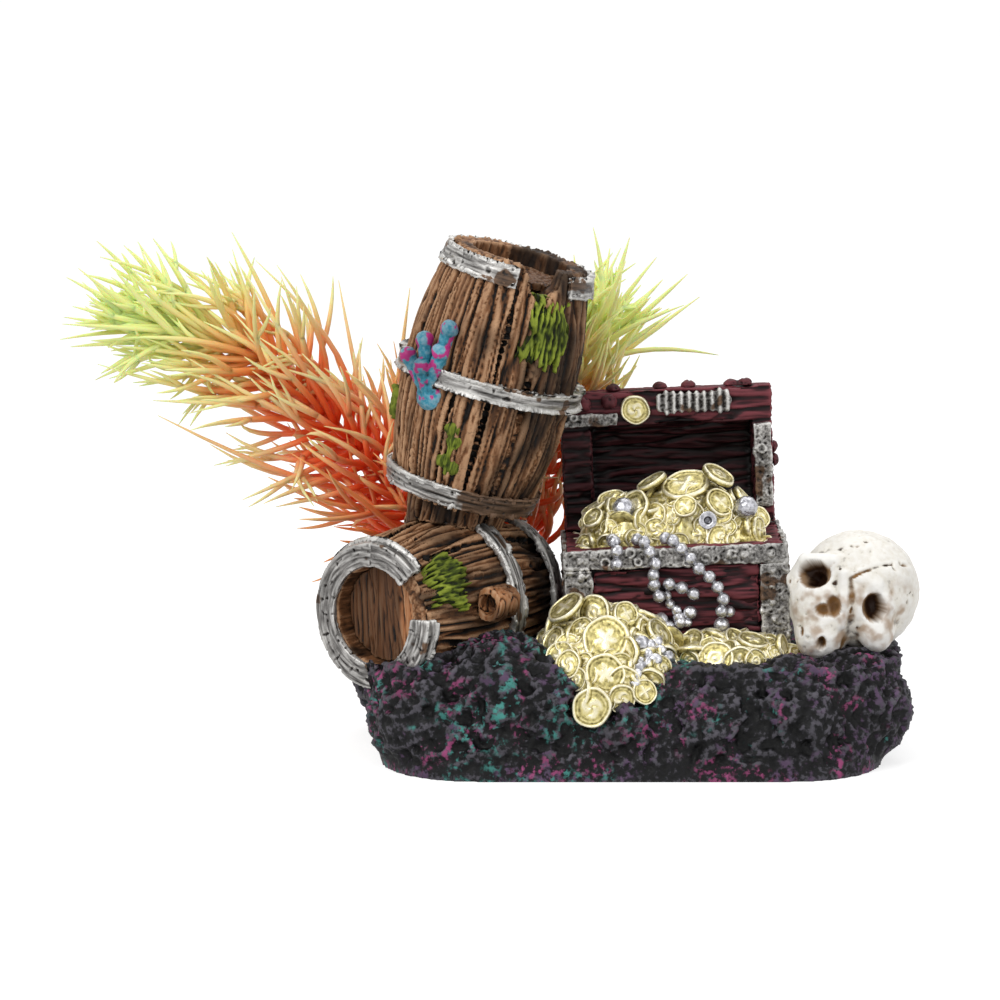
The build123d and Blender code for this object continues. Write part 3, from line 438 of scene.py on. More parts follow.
def show(name, mesh, finish, slot, body, *nodes):
    """Puts a finished mesh in the scene, on its body and in place of its CAD nodes."""
    piece = bpy.data.objects.new(name, mesh)
    bpy.context.scene.collection.objects.link(piece)
    mesh.materials.clear()
    mesh.materials.append(finish)
    mesh.shade_smooth()
    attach(piece, body)
    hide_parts(*nodes)
    return piece


def carve(node, pitch, cut, finish, slot, grain=None, tone_and_shade=None, bend=None, rounds=8, depth=0.3 * MM,
          **marks):
    """Stands for a CAD node with a carved copy of its surface.

    cut says how far each point moves out along its normal, or gives its whole move, from its place and its
    place along the piece's own axes, which bend may change first. tone and marks give the numbers that the
    paint reads, in the same way."""
    mesh = fine_mesh(node, pitch)
    points, normals = read(mesh.vertices, "co"), read(mesh.vertices, "normal")
    lie = points if grain is None else along(points, *grain)
    lie = lie if bend is None else bend(lie)
    shift = cut(points, lie)
    moved = np.clip(points + (shift if shift.ndim == 2 else normals * shift[:, None]), cad_low, cad_high)
    mesh.vertices.foreach_set("co", moved.astype(np.float32).ravel())
    mesh.update()
    store(mesh, "relief", relief(mesh, rounds, depth))
    store(mesh, "lie", lie)
    store(mesh, "tone_and_shade", tone_and_shade(points, lie) if tone_and_shade else np.clip(0.5 + noise(lie, 6 * MM, 40), 0, 1))
    for mark, rule in marks.items():
        store(mesh, mark, rule(points, lie))
    return show("carved_" + node, mesh, finish, slot, CASTING, node)


def mesh_of(name, points, faces):
    """A mesh from arrays of points and faces."""
    mesh = bpy.data.meshes.new(name)
    mesh.from_pydata(points.tolist(), [], faces)
    mesh.update()
    return mesh


# ---------------------------------------------------------------- finishes


class Finish:
    """A procedural material, built one shader node at a time."""

    def __init__(self, name, place=None):
        self.material = bpy.data.materials.new(name)
        self.material.use_nodes = True
        self.surface = self.material.node_tree.nodes["Principled BSDF"]
        if place is None:
            self.place = self.add("TexCoord").outputs["Object"]
        else:
            self.place = self.add("Attribute", attribute_name=place).outputs["Vector"]

    def add(self, kind, **choices):
        """A new shader node."""
        node = self.material.node_tree.nodes.new("ShaderNode" + kind)
        for choice, value in choices.items():
            setattr(node, choice, value)
        return node

    def feed(self, node, socket, value):
        """Joins a socket to another node's output, or sets it to a fixed value."""
        if isinstance(value, bpy.types.NodeSocket):
            self.material.node_tree.links.new(value, node.inputs[socket])
        else:
            node.inputs[socket].default_value = value

    def mark(self, name):
        """A number kept in each vertex."""
        return self.add("Attribute", attribute_name=name).outputs["Fac"]

    def noise(self, size, detail=3.0, stretch=PLAIN):
        """Noise from 0 to 1 in lumps of a size in metres, drawn out along the stretched axes."""
        spread = self.add("Mapping")
        self.feed(spread, "Vector", self.place)
        self.feed(spread, "Scale", [1 / (size * part) for part in stretch])
        lumps = self.add("TexNoise")
        self.feed(lumps, "Vector", spread.outputs["Vector"])
        self.feed(lumps, "Scale", 1.0)
        self.feed(lumps, "Detail", detail)
        return lumps.outputs["Fac"]

    def sum(self, first, share, second):
        """first, times share, plus second."""
        node = self.add("Math", operation="MULTIPLY_ADD")
        for socket, value in enumerate((first, share, second)):
            self.feed(node, socket, value)
        return node.outputs["Value"]

    def product(self, first, second):
        """first times second."""
        node = self.add("Math", operation="MULTIPLY")
        self.feed(node, 0, first)
        self.feed(node, 1, second)
        return node.outputs["Value"]

    def span(self, value, from_low, from_high, to_low=0.0, to_high=1.0):
        """A value moved from one range to another and kept inside it."""
        node = self.add("MapRange")
        for socket, part in enumerate((value, from_low, from_high, to_low, to_high)):
            self.feed(node, socket, part)
        return node.outputs["Result"]

    def ramp(self, value, *stops):
        """Colours along a value, from (where, colour) stops."""
        node = self.add("ValToRGB")
        self.feed(node, "Fac", value)
        elements = node.color_ramp.elements
        for stop, (where, shade) in enumerate(stops):
            element = elements[stop] if stop < 2 else elements.new(where)
            element.position = where
            element.color = (*shade, 1.0)
        return node.outputs["Color"]

    def blend(self, share, under, over, kind="MIX"):
        """One colour over another."""
        node = self.add("Mix", data_type="RGBA", blend_type=kind)
        self.feed(node, 0, share)
        for socket, value in ((6, under), (7, over)):
            self.feed(node, socket, value if isinstance(value, bpy.types.NodeSocket) else (*value, 1.0))
        return node.outputs[2]

    def bump(self, height, depth):
        """Small ups and downs that the light picks out, up to a depth in metres."""
        node = self.add("Bump")
        self.feed(node, "Height", height)
        self.feed(node, "Distance", depth)
        self.feed(self.surface, "Normal", node.outputs["Normal"])


def between(first, second, share=0.5):
    """A colour part of the way from one to another."""
    return tuple(a + (b - a) * share for a, b in zip(first, second))


def painted(name, dark, base, crest, grain=0.6 * MM, stretch=PLAIN, dull=(0.5, 0.8), metal=0.0, speckle=0.0,
            murk=0.6, shift=0.0, rough=0.7, worn=None, patches=()):
    """Resin painted with a dark wash in the cracks, a base coat and a dry brush over the crests.

    shift leaves less of the crests bare of wash, rough breaks their edges up, and murk is how dark a piece
    is where its tone mark is 0; that mark holds uneven colour and, on the barrels and the chest, painted
    shade.
    Each of the patches is a mark, a colour and the size of its flecks, or None for a plain patch. worn is the
    paint below, which shows where the mark named bare is high."""
    finish = Finish(name, "lie")
    streaks = finish.noise(grain, 4.0, stretch)
    height = finish.sum(streaks, rough, finish.sum(finish.mark("relief"), 1.0, -0.5 * rough - shift))
    coat = finish.ramp(height, (0.2, dark), (1.0, crest), (0.4, between(dark, base, 0.55)), (0.53, base),
                       (0.72, between(base, crest, 0.6)))
    for mark, shade, fleck in patches:
        cover = finish.mark(mark)
        if fleck is not None:
            flecks = finish.span(finish.noise(fleck, 5.0), 0.5, 0.6)
            cover = finish.product(cover, finish.product(flecks, finish.span(height, 0.2, 0.5)))
        coat = finish.blend(cover, coat, shade)
    if worn is not None:
        bare = finish.span(finish.sum(finish.noise(1.4 * MM, 4.0), 0.9, finish.mark("bare")), 0.75, 1.05)
        coat = finish.blend(bare, coat, finish.ramp(height, (0.25, dark), (0.8, worn)))
        finish.feed(finish.surface, "Metallic", finish.span(bare, 0.0, 1.0, metal, 0.0))
    else:
        finish.feed(finish.surface, "Metallic", metal)
    # The tone mark darkens the coat: uneven colour on every piece, and painted shade on the barrels and in the
    # chest.
    shade = finish.ramp(finish.mark("tone_and_shade"), (0.0, (murk, murk, murk)), (1.0, WHITE))
    coat = finish.blend(1.0, coat, shade, "MULTIPLY")
    if speckle:
        specks = finish.span(finish.noise(0.45 * MM, 2.0), 0.36 - 0.1 * (1 - speckle), 0.44, speckle, 0.0)
        coat = finish.blend(specks, coat, dark)
    finish.feed(finish.surface, "Base Color", coat)
    finish.feed(finish.surface, "Specular IOR Level", 0.2)
    finish.feed(finish.surface, "Roughness", finish.span(streaks, 0.3, 0.7, *dull))
    finish.bump(finish.sum(finish.noise(0.5 * MM, 3.0, stretch), 0.6, streaks), 0.12 * MM)
    return finish.material


def plastic(name, shade, gloss=0.3, grain=0.8 * MM, clear=0.0, soft=0.0):
    """Moulded plastic with a faint unevenness. shade is a colour, or None to read each vertex's tint."""
    finish = Finish(name)
    patches = finish.noise(6 * MM, 3.0)
    if shade is None:
        tint = finish.add("Attribute", attribute_name="tint").outputs["Color"]
        coat = finish.blend(finish.span(patches, 0.35, 0.65, 0.0, 0.12), tint, (1.0, 0.9, 0.7), "MULTIPLY")
    else:
        coat = finish.ramp(patches, (0.3, between(shade, BLACK, 0.18)), (0.7, shade))
    finish.feed(finish.surface, "Base Color", coat)
    finish.feed(finish.surface, "Roughness", finish.span(patches, 0.3, 0.7, gloss, gloss + 0.15))
    finish.feed(finish.surface, "Transmission Weight", clear)
    finish.feed(finish.surface, "Subsurface Weight", soft)
    finish.feed(finish.surface, "Subsurface Scale", 2 * MM)
    finish.bump(finish.noise(grain, 3.0), 0.05 * MM)
    return finish.material


# ---------------------------------------------------------------- the pieces' shapes


def wood(lie, depth, fibre, seed):
    """Carved wood: long fibres, cracks between them and shorter splits, as heights over a plain board."""
    fine = noise(lie, np.array((fibre, 0.8 * MM, 0.8 * MM)), seed)
    cracks = ridge(noise(lie, np.array((1.6 * fibre, 2.4 * MM, 2.4 * MM)), seed + 5), 0.13)
    splits = ridge(noise(lie, np.array((0.7 * fibre, 1.3 * MM, 1.3 * MM)), seed + 9), 0.08)
    lumps = noise(lie, np.array((0.4 * fibre, 2.6 * MM, 2.6 * MM)), seed + 13)
    gouges = smooth_step(noise(lie, np.array((0.5 * fibre, 2.2 * MM, 2.2 * MM)), seed + 17), 0.25, 0.5)
    return depth * (0.45 * fine - cracks - 0.45 * splits + 0.45 * lumps - 0.9 * gouges)


def without_bulge(lie):
    """Places in a barrel's own axes with its bulge taken out, so that the grain follows the staves, and
    how far each is on its outer side."""
    slabs = 24
    reach = np.hypot(lie[:, 1], lie[:, 2])
    edges = np.linspace(lie[:, 0].min(), lie[:, 0].max(), slabs + 1)
    slab = np.clip(np.digitize(lie[:, 0], edges) - 1, 0, slabs - 1)
    widest = np.zeros(slabs)
    np.maximum.at(widest, slab, reach)
    bulge = np.interp(lie[:, 0], (edges[1:] + edges[:-1]) / 2, widest) / widest.max()
    straight = lie / np.stack([np.ones(len(lie)), bulge, bulge], axis=1)
    return straight, smooth_step(reach / bulge / widest.max(), 0.86, 0.93)


def wrapped(lie):
    """Places round a barrel's axis unrolled: round it, out from it and along it."""
    turn = np.arctan2(lie[:, 2], lie[:, 1])
    return np.stack([16 * MM * turn, np.hypot(lie[:, 1], lie[:, 2]), lie[:, 0]], axis=1)


def bare_patches(points, lie):
    """Where silver paint has worn down to the brown."""
    return smooth_step(layered(points, 6 * MM, 3, 33), 0.2, 0.7)


def bare_right(points, lie):
    """The lowest hoop's silver only lasts on its left side."""
    return smooth_step(lie[:, 0] + 5 * MM * noise(points, 4 * MM, 3), -4 * MM, 4 * MM)


def streaky(lie, depth, seed):
    """Silver trim with grooves along its length and a few pits."""
    fine = noise(lie, np.array((9, 0.6, 0.6)) * MM, seed)
    grooves = fine + 0.6 * noise(lie, np.array((4, 1.3, 1.3)) * MM, seed + 2)
    pits = smooth_step(noise(lie, 1.3 * MM, seed + 3), 0.35, 0.6)
    return depth * (0.8 * grooves - pits)


def hammered(points, depth, seed):
    """Worn silver trim: soft dents and small pits."""
    pits = smooth_step(noise(points, 0.9 * MM, seed + 3), 0.25, 0.6)
    return depth * (0.8 * layered(points, 2.4 * MM, 2, seed) - 0.8 * pits)


def barrel_axes():
    """Each barrel's axis and the side of it that its staves are counted from."""
    front, rear = (node_points(f"lying_barrel_{end}_head").mean(axis=0) for end in ("front", "rear"))
    top, axes = own_axes(node_points("standing_barrel_head"))
    upward = axes[2] * np.sign(axes[2][2])
    return {"lying": (front, rear - front, (0.0, 0.0, -1.0)), "standing": (top, upward, (0.0, -1.0, 0.0))}


def coin_height(radius, turn, motif):
    """The relief of a coin from 0 to 1, at a share of its radius and an angle."""
    rim = smooth_step(radius, 0.86, 0.92)
    beading = 0.35 * ridge(radius - 0.76, 0.05) * (0.5 + 0.5 * np.cos(22 * turn))
    across, up = radius * np.cos(turn), radius * np.sin(turn)
    inner = 1 - smooth_step(radius, 0.52, 0.6)
    shapes = [
        np.maximum(ridge(across, 0.12), ridge(up, 0.12)),
        smooth_step(0.36 + 0.16 * np.cos(5 * turn) - radius, -0.05, 0.05),
        np.maximum(ridge(radius - 0.36, 0.09), ridge(radius, 0.14)),
        0.5 + 0.5 * np.cos(3 * turn + 11 * radius),
        ridge(up - 0.22 * np.sin(8 * across), 0.13) + ridge(up - 0.4, 0.08),
    ]
    return np.maximum(rim, beading) + 0.85 * inner * np.clip(shapes[motif % len(shapes)], 0, 1)


COIN_RINGS = np.array([0, 0.1, 0.2, 0.3, 0.4, 0.48, 0.56, 0.63, 0.69, 0.74, 0.79, 0.84, 0.87, 0.9, 0.96, 1.0])
COIN_EDGE = np.array([[1.03], [1.0], [0.5], [0.0]])
COIN_DROP = np.array([[-0.1], [-0.5], [-0.5], [-0.5]])
COIN_SIDES = 36


def coin_meshes(name, places, thickness, dice):
    """Coins in one mesh, from (middle, normal, radius) places."""
    turn = np.arange(COIN_SIDES) * 2 * math.pi / COIN_SIDES
    radius = np.repeat(COIN_RINGS[:, None], COIN_SIDES, axis=1)
    spin = np.repeat(turn[None], len(COIN_RINGS), axis=0)
    below = np.ones(COIN_SIDES)
    points, faces, heights = [], [], []
    for middle, normal, size in places:
        waver = 1 + 0.035 * np.sin(2 * turn + dice.uniform(0, 6))
        waver = waver + 0.02 * np.sin(5 * turn + dice.uniform(0, 6))
        stamped = coin_height(radius, spin + dice.uniform(0, 6), int(dice.integers(100)))
        worn = 0.2 * np.cos(spin + dice.uniform(0, 6)) * radius
        top = thickness * (0.3 + 0.22 * stamped + 0.1 * worn - 0.25 * smooth_step(radius, 0.95, 1.0))
        share = np.concatenate([radius, COIN_EDGE * below])
        level = np.concatenate([top, COIN_DROP * thickness * below])
        across = np.cross(normal, (0.3, 0.9, 0.2))
        across /= np.linalg.norm(across)
        third = np.cross(normal, across)
        wide = (share * waver * size)[..., None]
        angles = np.repeat(turn[None], len(share), axis=0)[..., None]
        spots = middle + wide * (np.cos(angles) * across + np.sin(angles) * third) + level[..., None] * normal
        corner = np.arange(share.size).reshape(share.shape) + sum(len(part) for part in points)
        following = np.roll(corner, -1, axis=1)
        quads = np.stack([corner[:-1], corner[1:], following[1:], following[:-1]], axis=-1).reshape(-1, 4)
        points.append(spots.reshape(-1, 3))
        faces.extend(quads.tolist())
        groove = 0.3 * ridge(radius - 0.81, 0.035) + 0.12 * ridge(radius - 0.6, 0.06)
        under = np.full((len(COIN_EDGE), COIN_SIDES), 0.4)
        heights.append(np.concatenate([0.5 + 0.45 * stamped - groove, under]).ravel())
    points = np.concatenate(points)
    mesh = mesh_of(name, points, faces)
    store(mesh, "relief", np.concatenate(heights))
    store(mesh, "lie", points)
    store(mesh, "tone_and_shade", np.repeat(dice.uniform(0.35, 1.0, len(places)), len(points) // len(places)))
    return mesh


def coin_places(node):
    """The middle, the outward direction and the radius of each coin in a CAD node."""
    outward = np.array((0.0, -0.6, 0.8))
    for part in loose_parts(node):
        middle, axes = own_axes(part)
        normal = axes[2] if axes[2] @ outward > 0 else -axes[2]
        offset = part - middle
        offset -= np.outer(offset @ normal, normal)
        yield middle, normal, np.linalg.norm(offset, axis=1).max()


def scattered(mesh, count, values, dice, taken, allowed):
    """Places for more coins, half sunk in a mound's upper side and spaced apart."""
    points, normals = read(mesh.vertices, "co"), read(mesh.vertices, "normal")
    open_side = (normals @ np.array((0.0, -0.7, 0.7)) > 0.15) & allowed(points)
    found = []
    for pick in dice.permutation(np.flatnonzero(open_side))[: 40 * count]:
        size = dice.uniform(values.smallest, values.largest)
        clear = [np.linalg.norm(points[pick] - middle) > 0.52 * (size + other) for middle, _, other in taken]
        if all(clear) and len(found) < count:
            normal = normals[pick] + dice.normal(0, 0.3, 3)
            normal /= np.linalg.norm(normal)
            found.append((points[pick] - normal * 0.2 * values.thickness, normal, size))
            taken.append(found[-1])
    return found


def tubes(name, paths, radii, tints, sides=6):
    """One mesh of closed, tapering tubes along many paths with the same number of points."""
    count, steps = paths.shape[:2]
    forward = np.gradient(paths, axis=1)
    forward /= np.linalg.norm(forward, axis=2, keepdims=True)
    aside = np.cross(forward, (0.31, 0.87, 0.38))
    aside /= np.linalg.norm(aside, axis=2, keepdims=True)
    turn = (np.arange(sides) * 2 * math.pi / sides)[:, None]
    rings = np.cos(turn) * aside[:, :, None] + np.sin(turn) * np.cross(forward, aside)[:, :, None]
    points = (paths[:, :, None] + rings * radii[:, :, None, None]).reshape(-1, 3)
    corner = np.arange(len(points)).reshape(count, steps, sides)
    following = np.roll(corner, -1, axis=2)
    quads = np.stack([corner[:, :-1], following[:, :-1], following[:, 1:], corner[:, 1:]], axis=-1)
    faces = [*quads.reshape(-1, 4).tolist(), *corner[:, 0, ::-1].tolist(), *corner[:, -1].tolist()]
    mesh = mesh_of(name, points, faces)
    store(mesh, "tint", np.repeat(tints.reshape(-1, 4), sides, axis=0))
    return mesh


def centreline(node, pitch, start):
    """Points a pitch apart along the middle of a plant's stem, from where it leaves its plug."""
    mesh = fine_mesh(node, 0.4 * MM)
    points = read(mesh.vertices, "co")
    chord = points[np.argmax(np.linalg.norm(points - start, axis=1))] - start
    share = (points - start) @ chord / (chord @ chord)
    edges = np.linspace(0.0, 1.0, 41)
    slabs = [points[(share >= low) & (share < high)] for low, high in zip(edges, edges[1:])]
    line = np.array([slab.mean(axis=0) for slab in slabs if len(slab)])
    travelled = np.concatenate([[0], np.cumsum(np.linalg.norm(np.diff(line, axis=0), axis=1))])
    wanted = np.arange(0, travelled[-1], pitch)
    return np.stack([np.interp(wanted, travelled, line[:, axis]) for axis in range(3)], axis=1), wanted


def leaf_paths(stem, lengths, values, dice, shrink, filled):
    """Curved, forked leaves in the whorls' places that aren't filled yet.

    Gives their paths, how far up the stem each is, shares of a leaf, widths and places."""
    steps = np.linspace(0, 1, 10)
    forward = np.gradient(stem, axis=0)
    forward /= np.linalg.norm(forward, axis=1, keepdims=True)
    found = []
    for place, leaf in itertools.product(range(len(stem)), range(values.leaves)):
        if lengths[place] < values.first or (place, leaf) in filled:
            continue
        age = lengths[place] / lengths[-1]
        aside = np.cross(forward[place], (0.2, 0.9, 0.3))
        aside /= np.linalg.norm(aside)
        turn = 2 * math.pi * (leaf + 0.5 * place + dice.uniform(-0.3, 0.3)) / values.leaves
        outward = math.cos(turn) * aside + math.sin(turn) * np.cross(forward[place], aside)
        spread = math.radians(np.interp(age, (0, 0.5, 1), (78, 64, 34)) + dice.uniform(-12, 12))
        taper = np.interp(age, (0, 0.4, 0.8, 1), (0.85, 1, 0.9, 0.45))
        reach = values.longest * taper * dice.uniform(0.85, 1) * shrink
        start = math.cos(spread) * forward[place] + math.sin(spread) * outward
        bend = 0.5 * (forward[place] - start) + dice.normal(0, 0.22, 3)
        sway = dice.normal(0, 0.2, 3)
        curve = steps[:, None] * start + steps[:, None] ** 2 * bend + steps[:, None] ** 3 * sway
        line = stem[place] + outward * 0.6 * MM + reach * curve
        found.append((line, age, steps, 1.0, (place, leaf)))
        for _ in range(int(dice.choice((0, 1, 1, 2)))):
            foot = int(dice.integers(4, 7))
            heading = line[foot + 1] - line[foot]
            heading /= np.linalg.norm(heading)
            veer = np.cross(heading, dice.normal(0, 1, 3))
            away = heading + 0.65 * veer / np.linalg.norm(veer)
            extent = reach * (1 - steps[foot]) * dice.uniform(0.75, 1.05)
            curl = steps[:, None] ** 2 * (heading - away) * 0.4
            prong = line[foot] + extent * (steps[:, None] * away + curl)
            found.append((prong, age, steps[foot] + steps * (1 - steps[foot]), 0.9, (place, leaf)))
    return found


def leaf_tints(ages, shares, values):
    """Colours from the root's orange through peach tips to lime at the stem's end."""
    ages = np.repeat(ages[:, None], shares.shape[1], axis=1)
    foot_shades = zip(values.root, values.middle, values.lime)
    tip_shades = zip(values.middle, values.pale, values.lime)
    foot = [np.interp(ages, (0.45, 0.68, 0.85), stops) for stops in foot_shades]
    tip = [np.interp(ages, (0.1, 0.42, 0.75), stops) for stops in tip_shades]
    share = smooth_step(shares, 0.3, 0.95)
    tint = np.stack([a + (b - a) * share for a, b in zip(foot, tip)], axis=-1)
    return np.concatenate([tint, np.ones((*shares.shape, 1))], axis=-1)


def travel(side):
    """The places that a plant passes through as it turns on its plug and is pulled out.

    Gives the turn as a matrix, the point that it is about and the lift."""
    joints = {joint["name"]: joint for joint in frame["joints"]}
    pull, turn = joints[f"{side}_plant_pull"], joints[f"{side}_plant_turn"]
    pivot = np.array(turn["pos_m"])
    for lift in np.linspace(*pull["range_m"], 4):
        for degrees in np.linspace(*turn["range_deg"], 5):
            c, s = math.cos(math.radians(degrees)), math.sin(math.radians(degrees))
            spin = np.array(((c, -s, 0), (s, c, 0), (0, 0, 1)))
            yield spin, pivot, np.array((0, 0, lift))


def surface_tree(nodes):
    """The surfaces of some CAD nodes as one, to measure gaps to or to cast rays at."""
    points, faces = [], []
    for node in nodes:
        mesh = frame["nodes"][node].data
        first = len(points)
        points.extend(vertex.co for vertex in mesh.vertices)
        faces.extend([corner + first for corner in face.vertices] for face in mesh.polygons)
    return BVHTree.FromPolygons(points, faces)


def clear_leaves(paths, side, clearance, middle_x, casting):
    """Which leaves stay off the casting and on their own side of the middle all through their travel."""
    good = ((paths > np.array(cad_low) + MM) & (paths < np.array(cad_high) - MM)).all(axis=(1, 2))
    way = -1 if side == "left" else 1
    for spin, pivot, lift in travel(side):
        moved = (paths - pivot) @ spin.T + pivot + lift
        good &= ((moved[:, :, 0] - middle_x) * way > clearance).all(axis=1)
        for leaf in np.flatnonzero(good):
            near = (casting.find_nearest(Vector(point), clearance)[0] for point in moved[leaf])
            if any(hit is not None for hit in near):
                good[leaf] = False
    return good


# ---------------------------------------------------------------- operators


class ORNAMENT_OT_stage(bpy.types.Operator):
    """Set up the camera, the lamps and the pale floor"""

    bl_idname = "ornament.stage"
    bl_label = "Stage"

    def execute(self, context):
        values = settings("stage")
        scene = context.scene
        scene.view_settings.view_transform = "Standard"
        back = Vector((0, -math.cos(values.elevation), math.sin(values.elevation)))
        lens = bpy.data.cameras.new("camera")
        lens.sensor_width = 36.0
        lens.lens = lens.sensor_width * values.distance / values.width
        lens.clip_start = 0.01
        camera = bpy.data.objects.new("camera", lens)
        camera.location = Vector(values.aim) + back * values.distance
        camera.rotation_euler = (-back).to_track_quat("-Z", "Y").to_euler()
        scene.collection.objects.link(camera)
        scene.camera = camera
        self.lamp("key_lamp", (-0.35, -0.42, 0.5), 0.34, values.key)
        self.lamp("fill_lamp", (0.5, -0.4, 0.28), 0.4, values.fill)
        self.lamp("top_lamp", (0.05, 0.25, 0.6), 0.4, values.top)
        self.sky(values.sky)
        self.floor(values.floor, values.glow)
        return {"FINISHED"}

    def lamp(self, name, place, size, power):
        """A square soft lamp that shines on the object."""
        light = bpy.data.lights.new(name, "AREA")
        light.size = size
        light.energy = power
        lamp = bpy.data.objects.new(name, light)
        lamp.location = place
        lamp.rotation_euler = (Vector(place) - Vector((0, 0, 0.05))).to_track_quat("Z", "Y").to_euler()
        bpy.context.scene.collection.objects.link(lamp)

    def seen(self, tree):
        """1 for rays that see the background: straight, in a reflection or through something clear."""
        path = tree.nodes.new("ShaderNodeLightPath")
        total = path.outputs["Is Camera Ray"]
        for ray in ("Is Glossy Ray", "Is Transmission Ray"):
            node = tree.nodes.new("ShaderNodeMath")
            node.operation = "MAXIMUM"
            tree.links.new(total, node.inputs[0])
            tree.links.new(path.outputs[ray], node.inputs[1])
            total = node.outputs["Value"]
        return total

    def sky(self, strength):
        """Even light from all round, seen as white."""
        world = bpy.data.worlds.new("studio")
        world.use_nodes = True
        tree = world.node_tree
        level = tree.nodes.new("ShaderNodeMapRange")
        tree.links.new(self.seen(tree), level.inputs["Value"])
        level.inputs["To Min"].default_value = strength
        tree.links.new(level.outputs["Result"], tree.nodes["Background"].inputs["Strength"])
        tree.nodes["Background"].inputs["Color"].default_value = (*WHITE, 1)
        bpy.context.scene.world = world

    def floor(self, bright, glow_level):
        """A wide pale floor that keeps the object's shadow."""
        half = 4.0
        around = ((-half, -half), (half, -half), (half, half), (-half, half))
        corners = np.array([(x, y, cad_low.z) for x, y in around])
        mesh = mesh_of("floor", corners, [[0, 1, 2, 3]])
        material = bpy.data.materials.new("pale_floor")
        material.use_nodes = True
        tree = material.node_tree
        tree.nodes.remove(tree.nodes["Principled BSDF"])
        diffuse = tree.nodes.new("ShaderNodeBsdfDiffuse")
        diffuse.inputs["Color"].default_value = (bright, bright, bright, 1)
        glow = tree.nodes.new("ShaderNodeEmission")
        level = tree.nodes.new("ShaderNodeMath")
        level.operation = "MULTIPLY"
        level.inputs[1].default_value = glow_level
        tree.links.new(self.seen(tree), level.inputs[0])
        tree.links.new(level.outputs["Value"], glow.inputs["Strength"])
        both = tree.nodes.new("ShaderNodeAddShader")
        tree.links.new(diffuse.outputs["BSDF"], both.inputs[0])
        tree.links.new(glow.outputs["Emission"], both.inputs[1])
        tree.links.new(both.outputs["Shader"], tree.nodes["Material Output"].inputs["Surface"])
        mesh.materials.append(material)
        floor = bpy.data.objects.new("floor", mesh)
        bpy.context.scene.collection.objects.link(floor)


class ORNAMENT_OT_rock(bpy.types.Operator):
    """Carve and paint the rock"""

    bl_idname = "ornament.rock"
    bl_label = "Rock"

    def execute(self, context):
        values = settings("rock")
        low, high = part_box("rock_base")
        flecks = (("teal", values.teal, 1.5 * MM), ("pink", values.pink, 1.3 * MM),
                  ("plum", values.plum, 1.7 * MM))
        finish = painted("rough_rock", values.dark, values.base, values.crest, 0.8 * MM, dull=(0.4, 0.75),
                         shift=0.12, rough=1.8, patches=flecks)
        keep_clear = [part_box(node) for node in ("air_nipple", "left_plant_plug", "right_plant_plug")]

        def cut(points, lie):
            """Sharp ridges round hollows, fading out at the plinth and round the inlet and the plugs."""
            ridges = 0.45 - 2.2 * np.abs(layered(points, values.stone, 3, 3))
            small = 0.3 - 1.5 * np.abs(noise(points, 0.36 * values.stone, 9))
            height = ridges + 0.7 * small + 1.1 * (0.55 - pebbles(points, 1.3 * values.stone, 5))
            fade = smooth_step(points[:, 2], 0.3 * values.plinth, 1.6 * values.plinth)
            for corner, far_corner in keep_clear:
                outside = np.maximum(np.array(corner) - points, points - np.array(far_corner)).max(axis=1)
                fade = fade * smooth_step(outside, 0.5 * MM, 4 * MM)
            return values.depth * height * fade

        def patch(seed, favour):
            """Blotches of a colour, more of them where favour is high."""
            return lambda points, lie: smooth_step(
                layered(points, 8 * MM, 3, seed) + favour(self.across(points, low, high)), 0.12, 0.45
            )

        carve("rock_base", values.pitch, cut, finish, "rock", rounds=10, depth=0.5 * MM,
              teal=patch(21, lambda share: 0.3 - 1.1 * np.abs(share - 0.33)),
              pink=patch(31, lambda share: 0.15 - 0.2 * share),
              plum=patch(51, lambda share: 0.5 * share - 0.2))
        return {"FINISHED"}

    def across(self, points, low, high):
        """How far along the rock each point is, from 0 at the left to 1."""
        return (points[:, 0] - low.x) / (high.x - low.x)


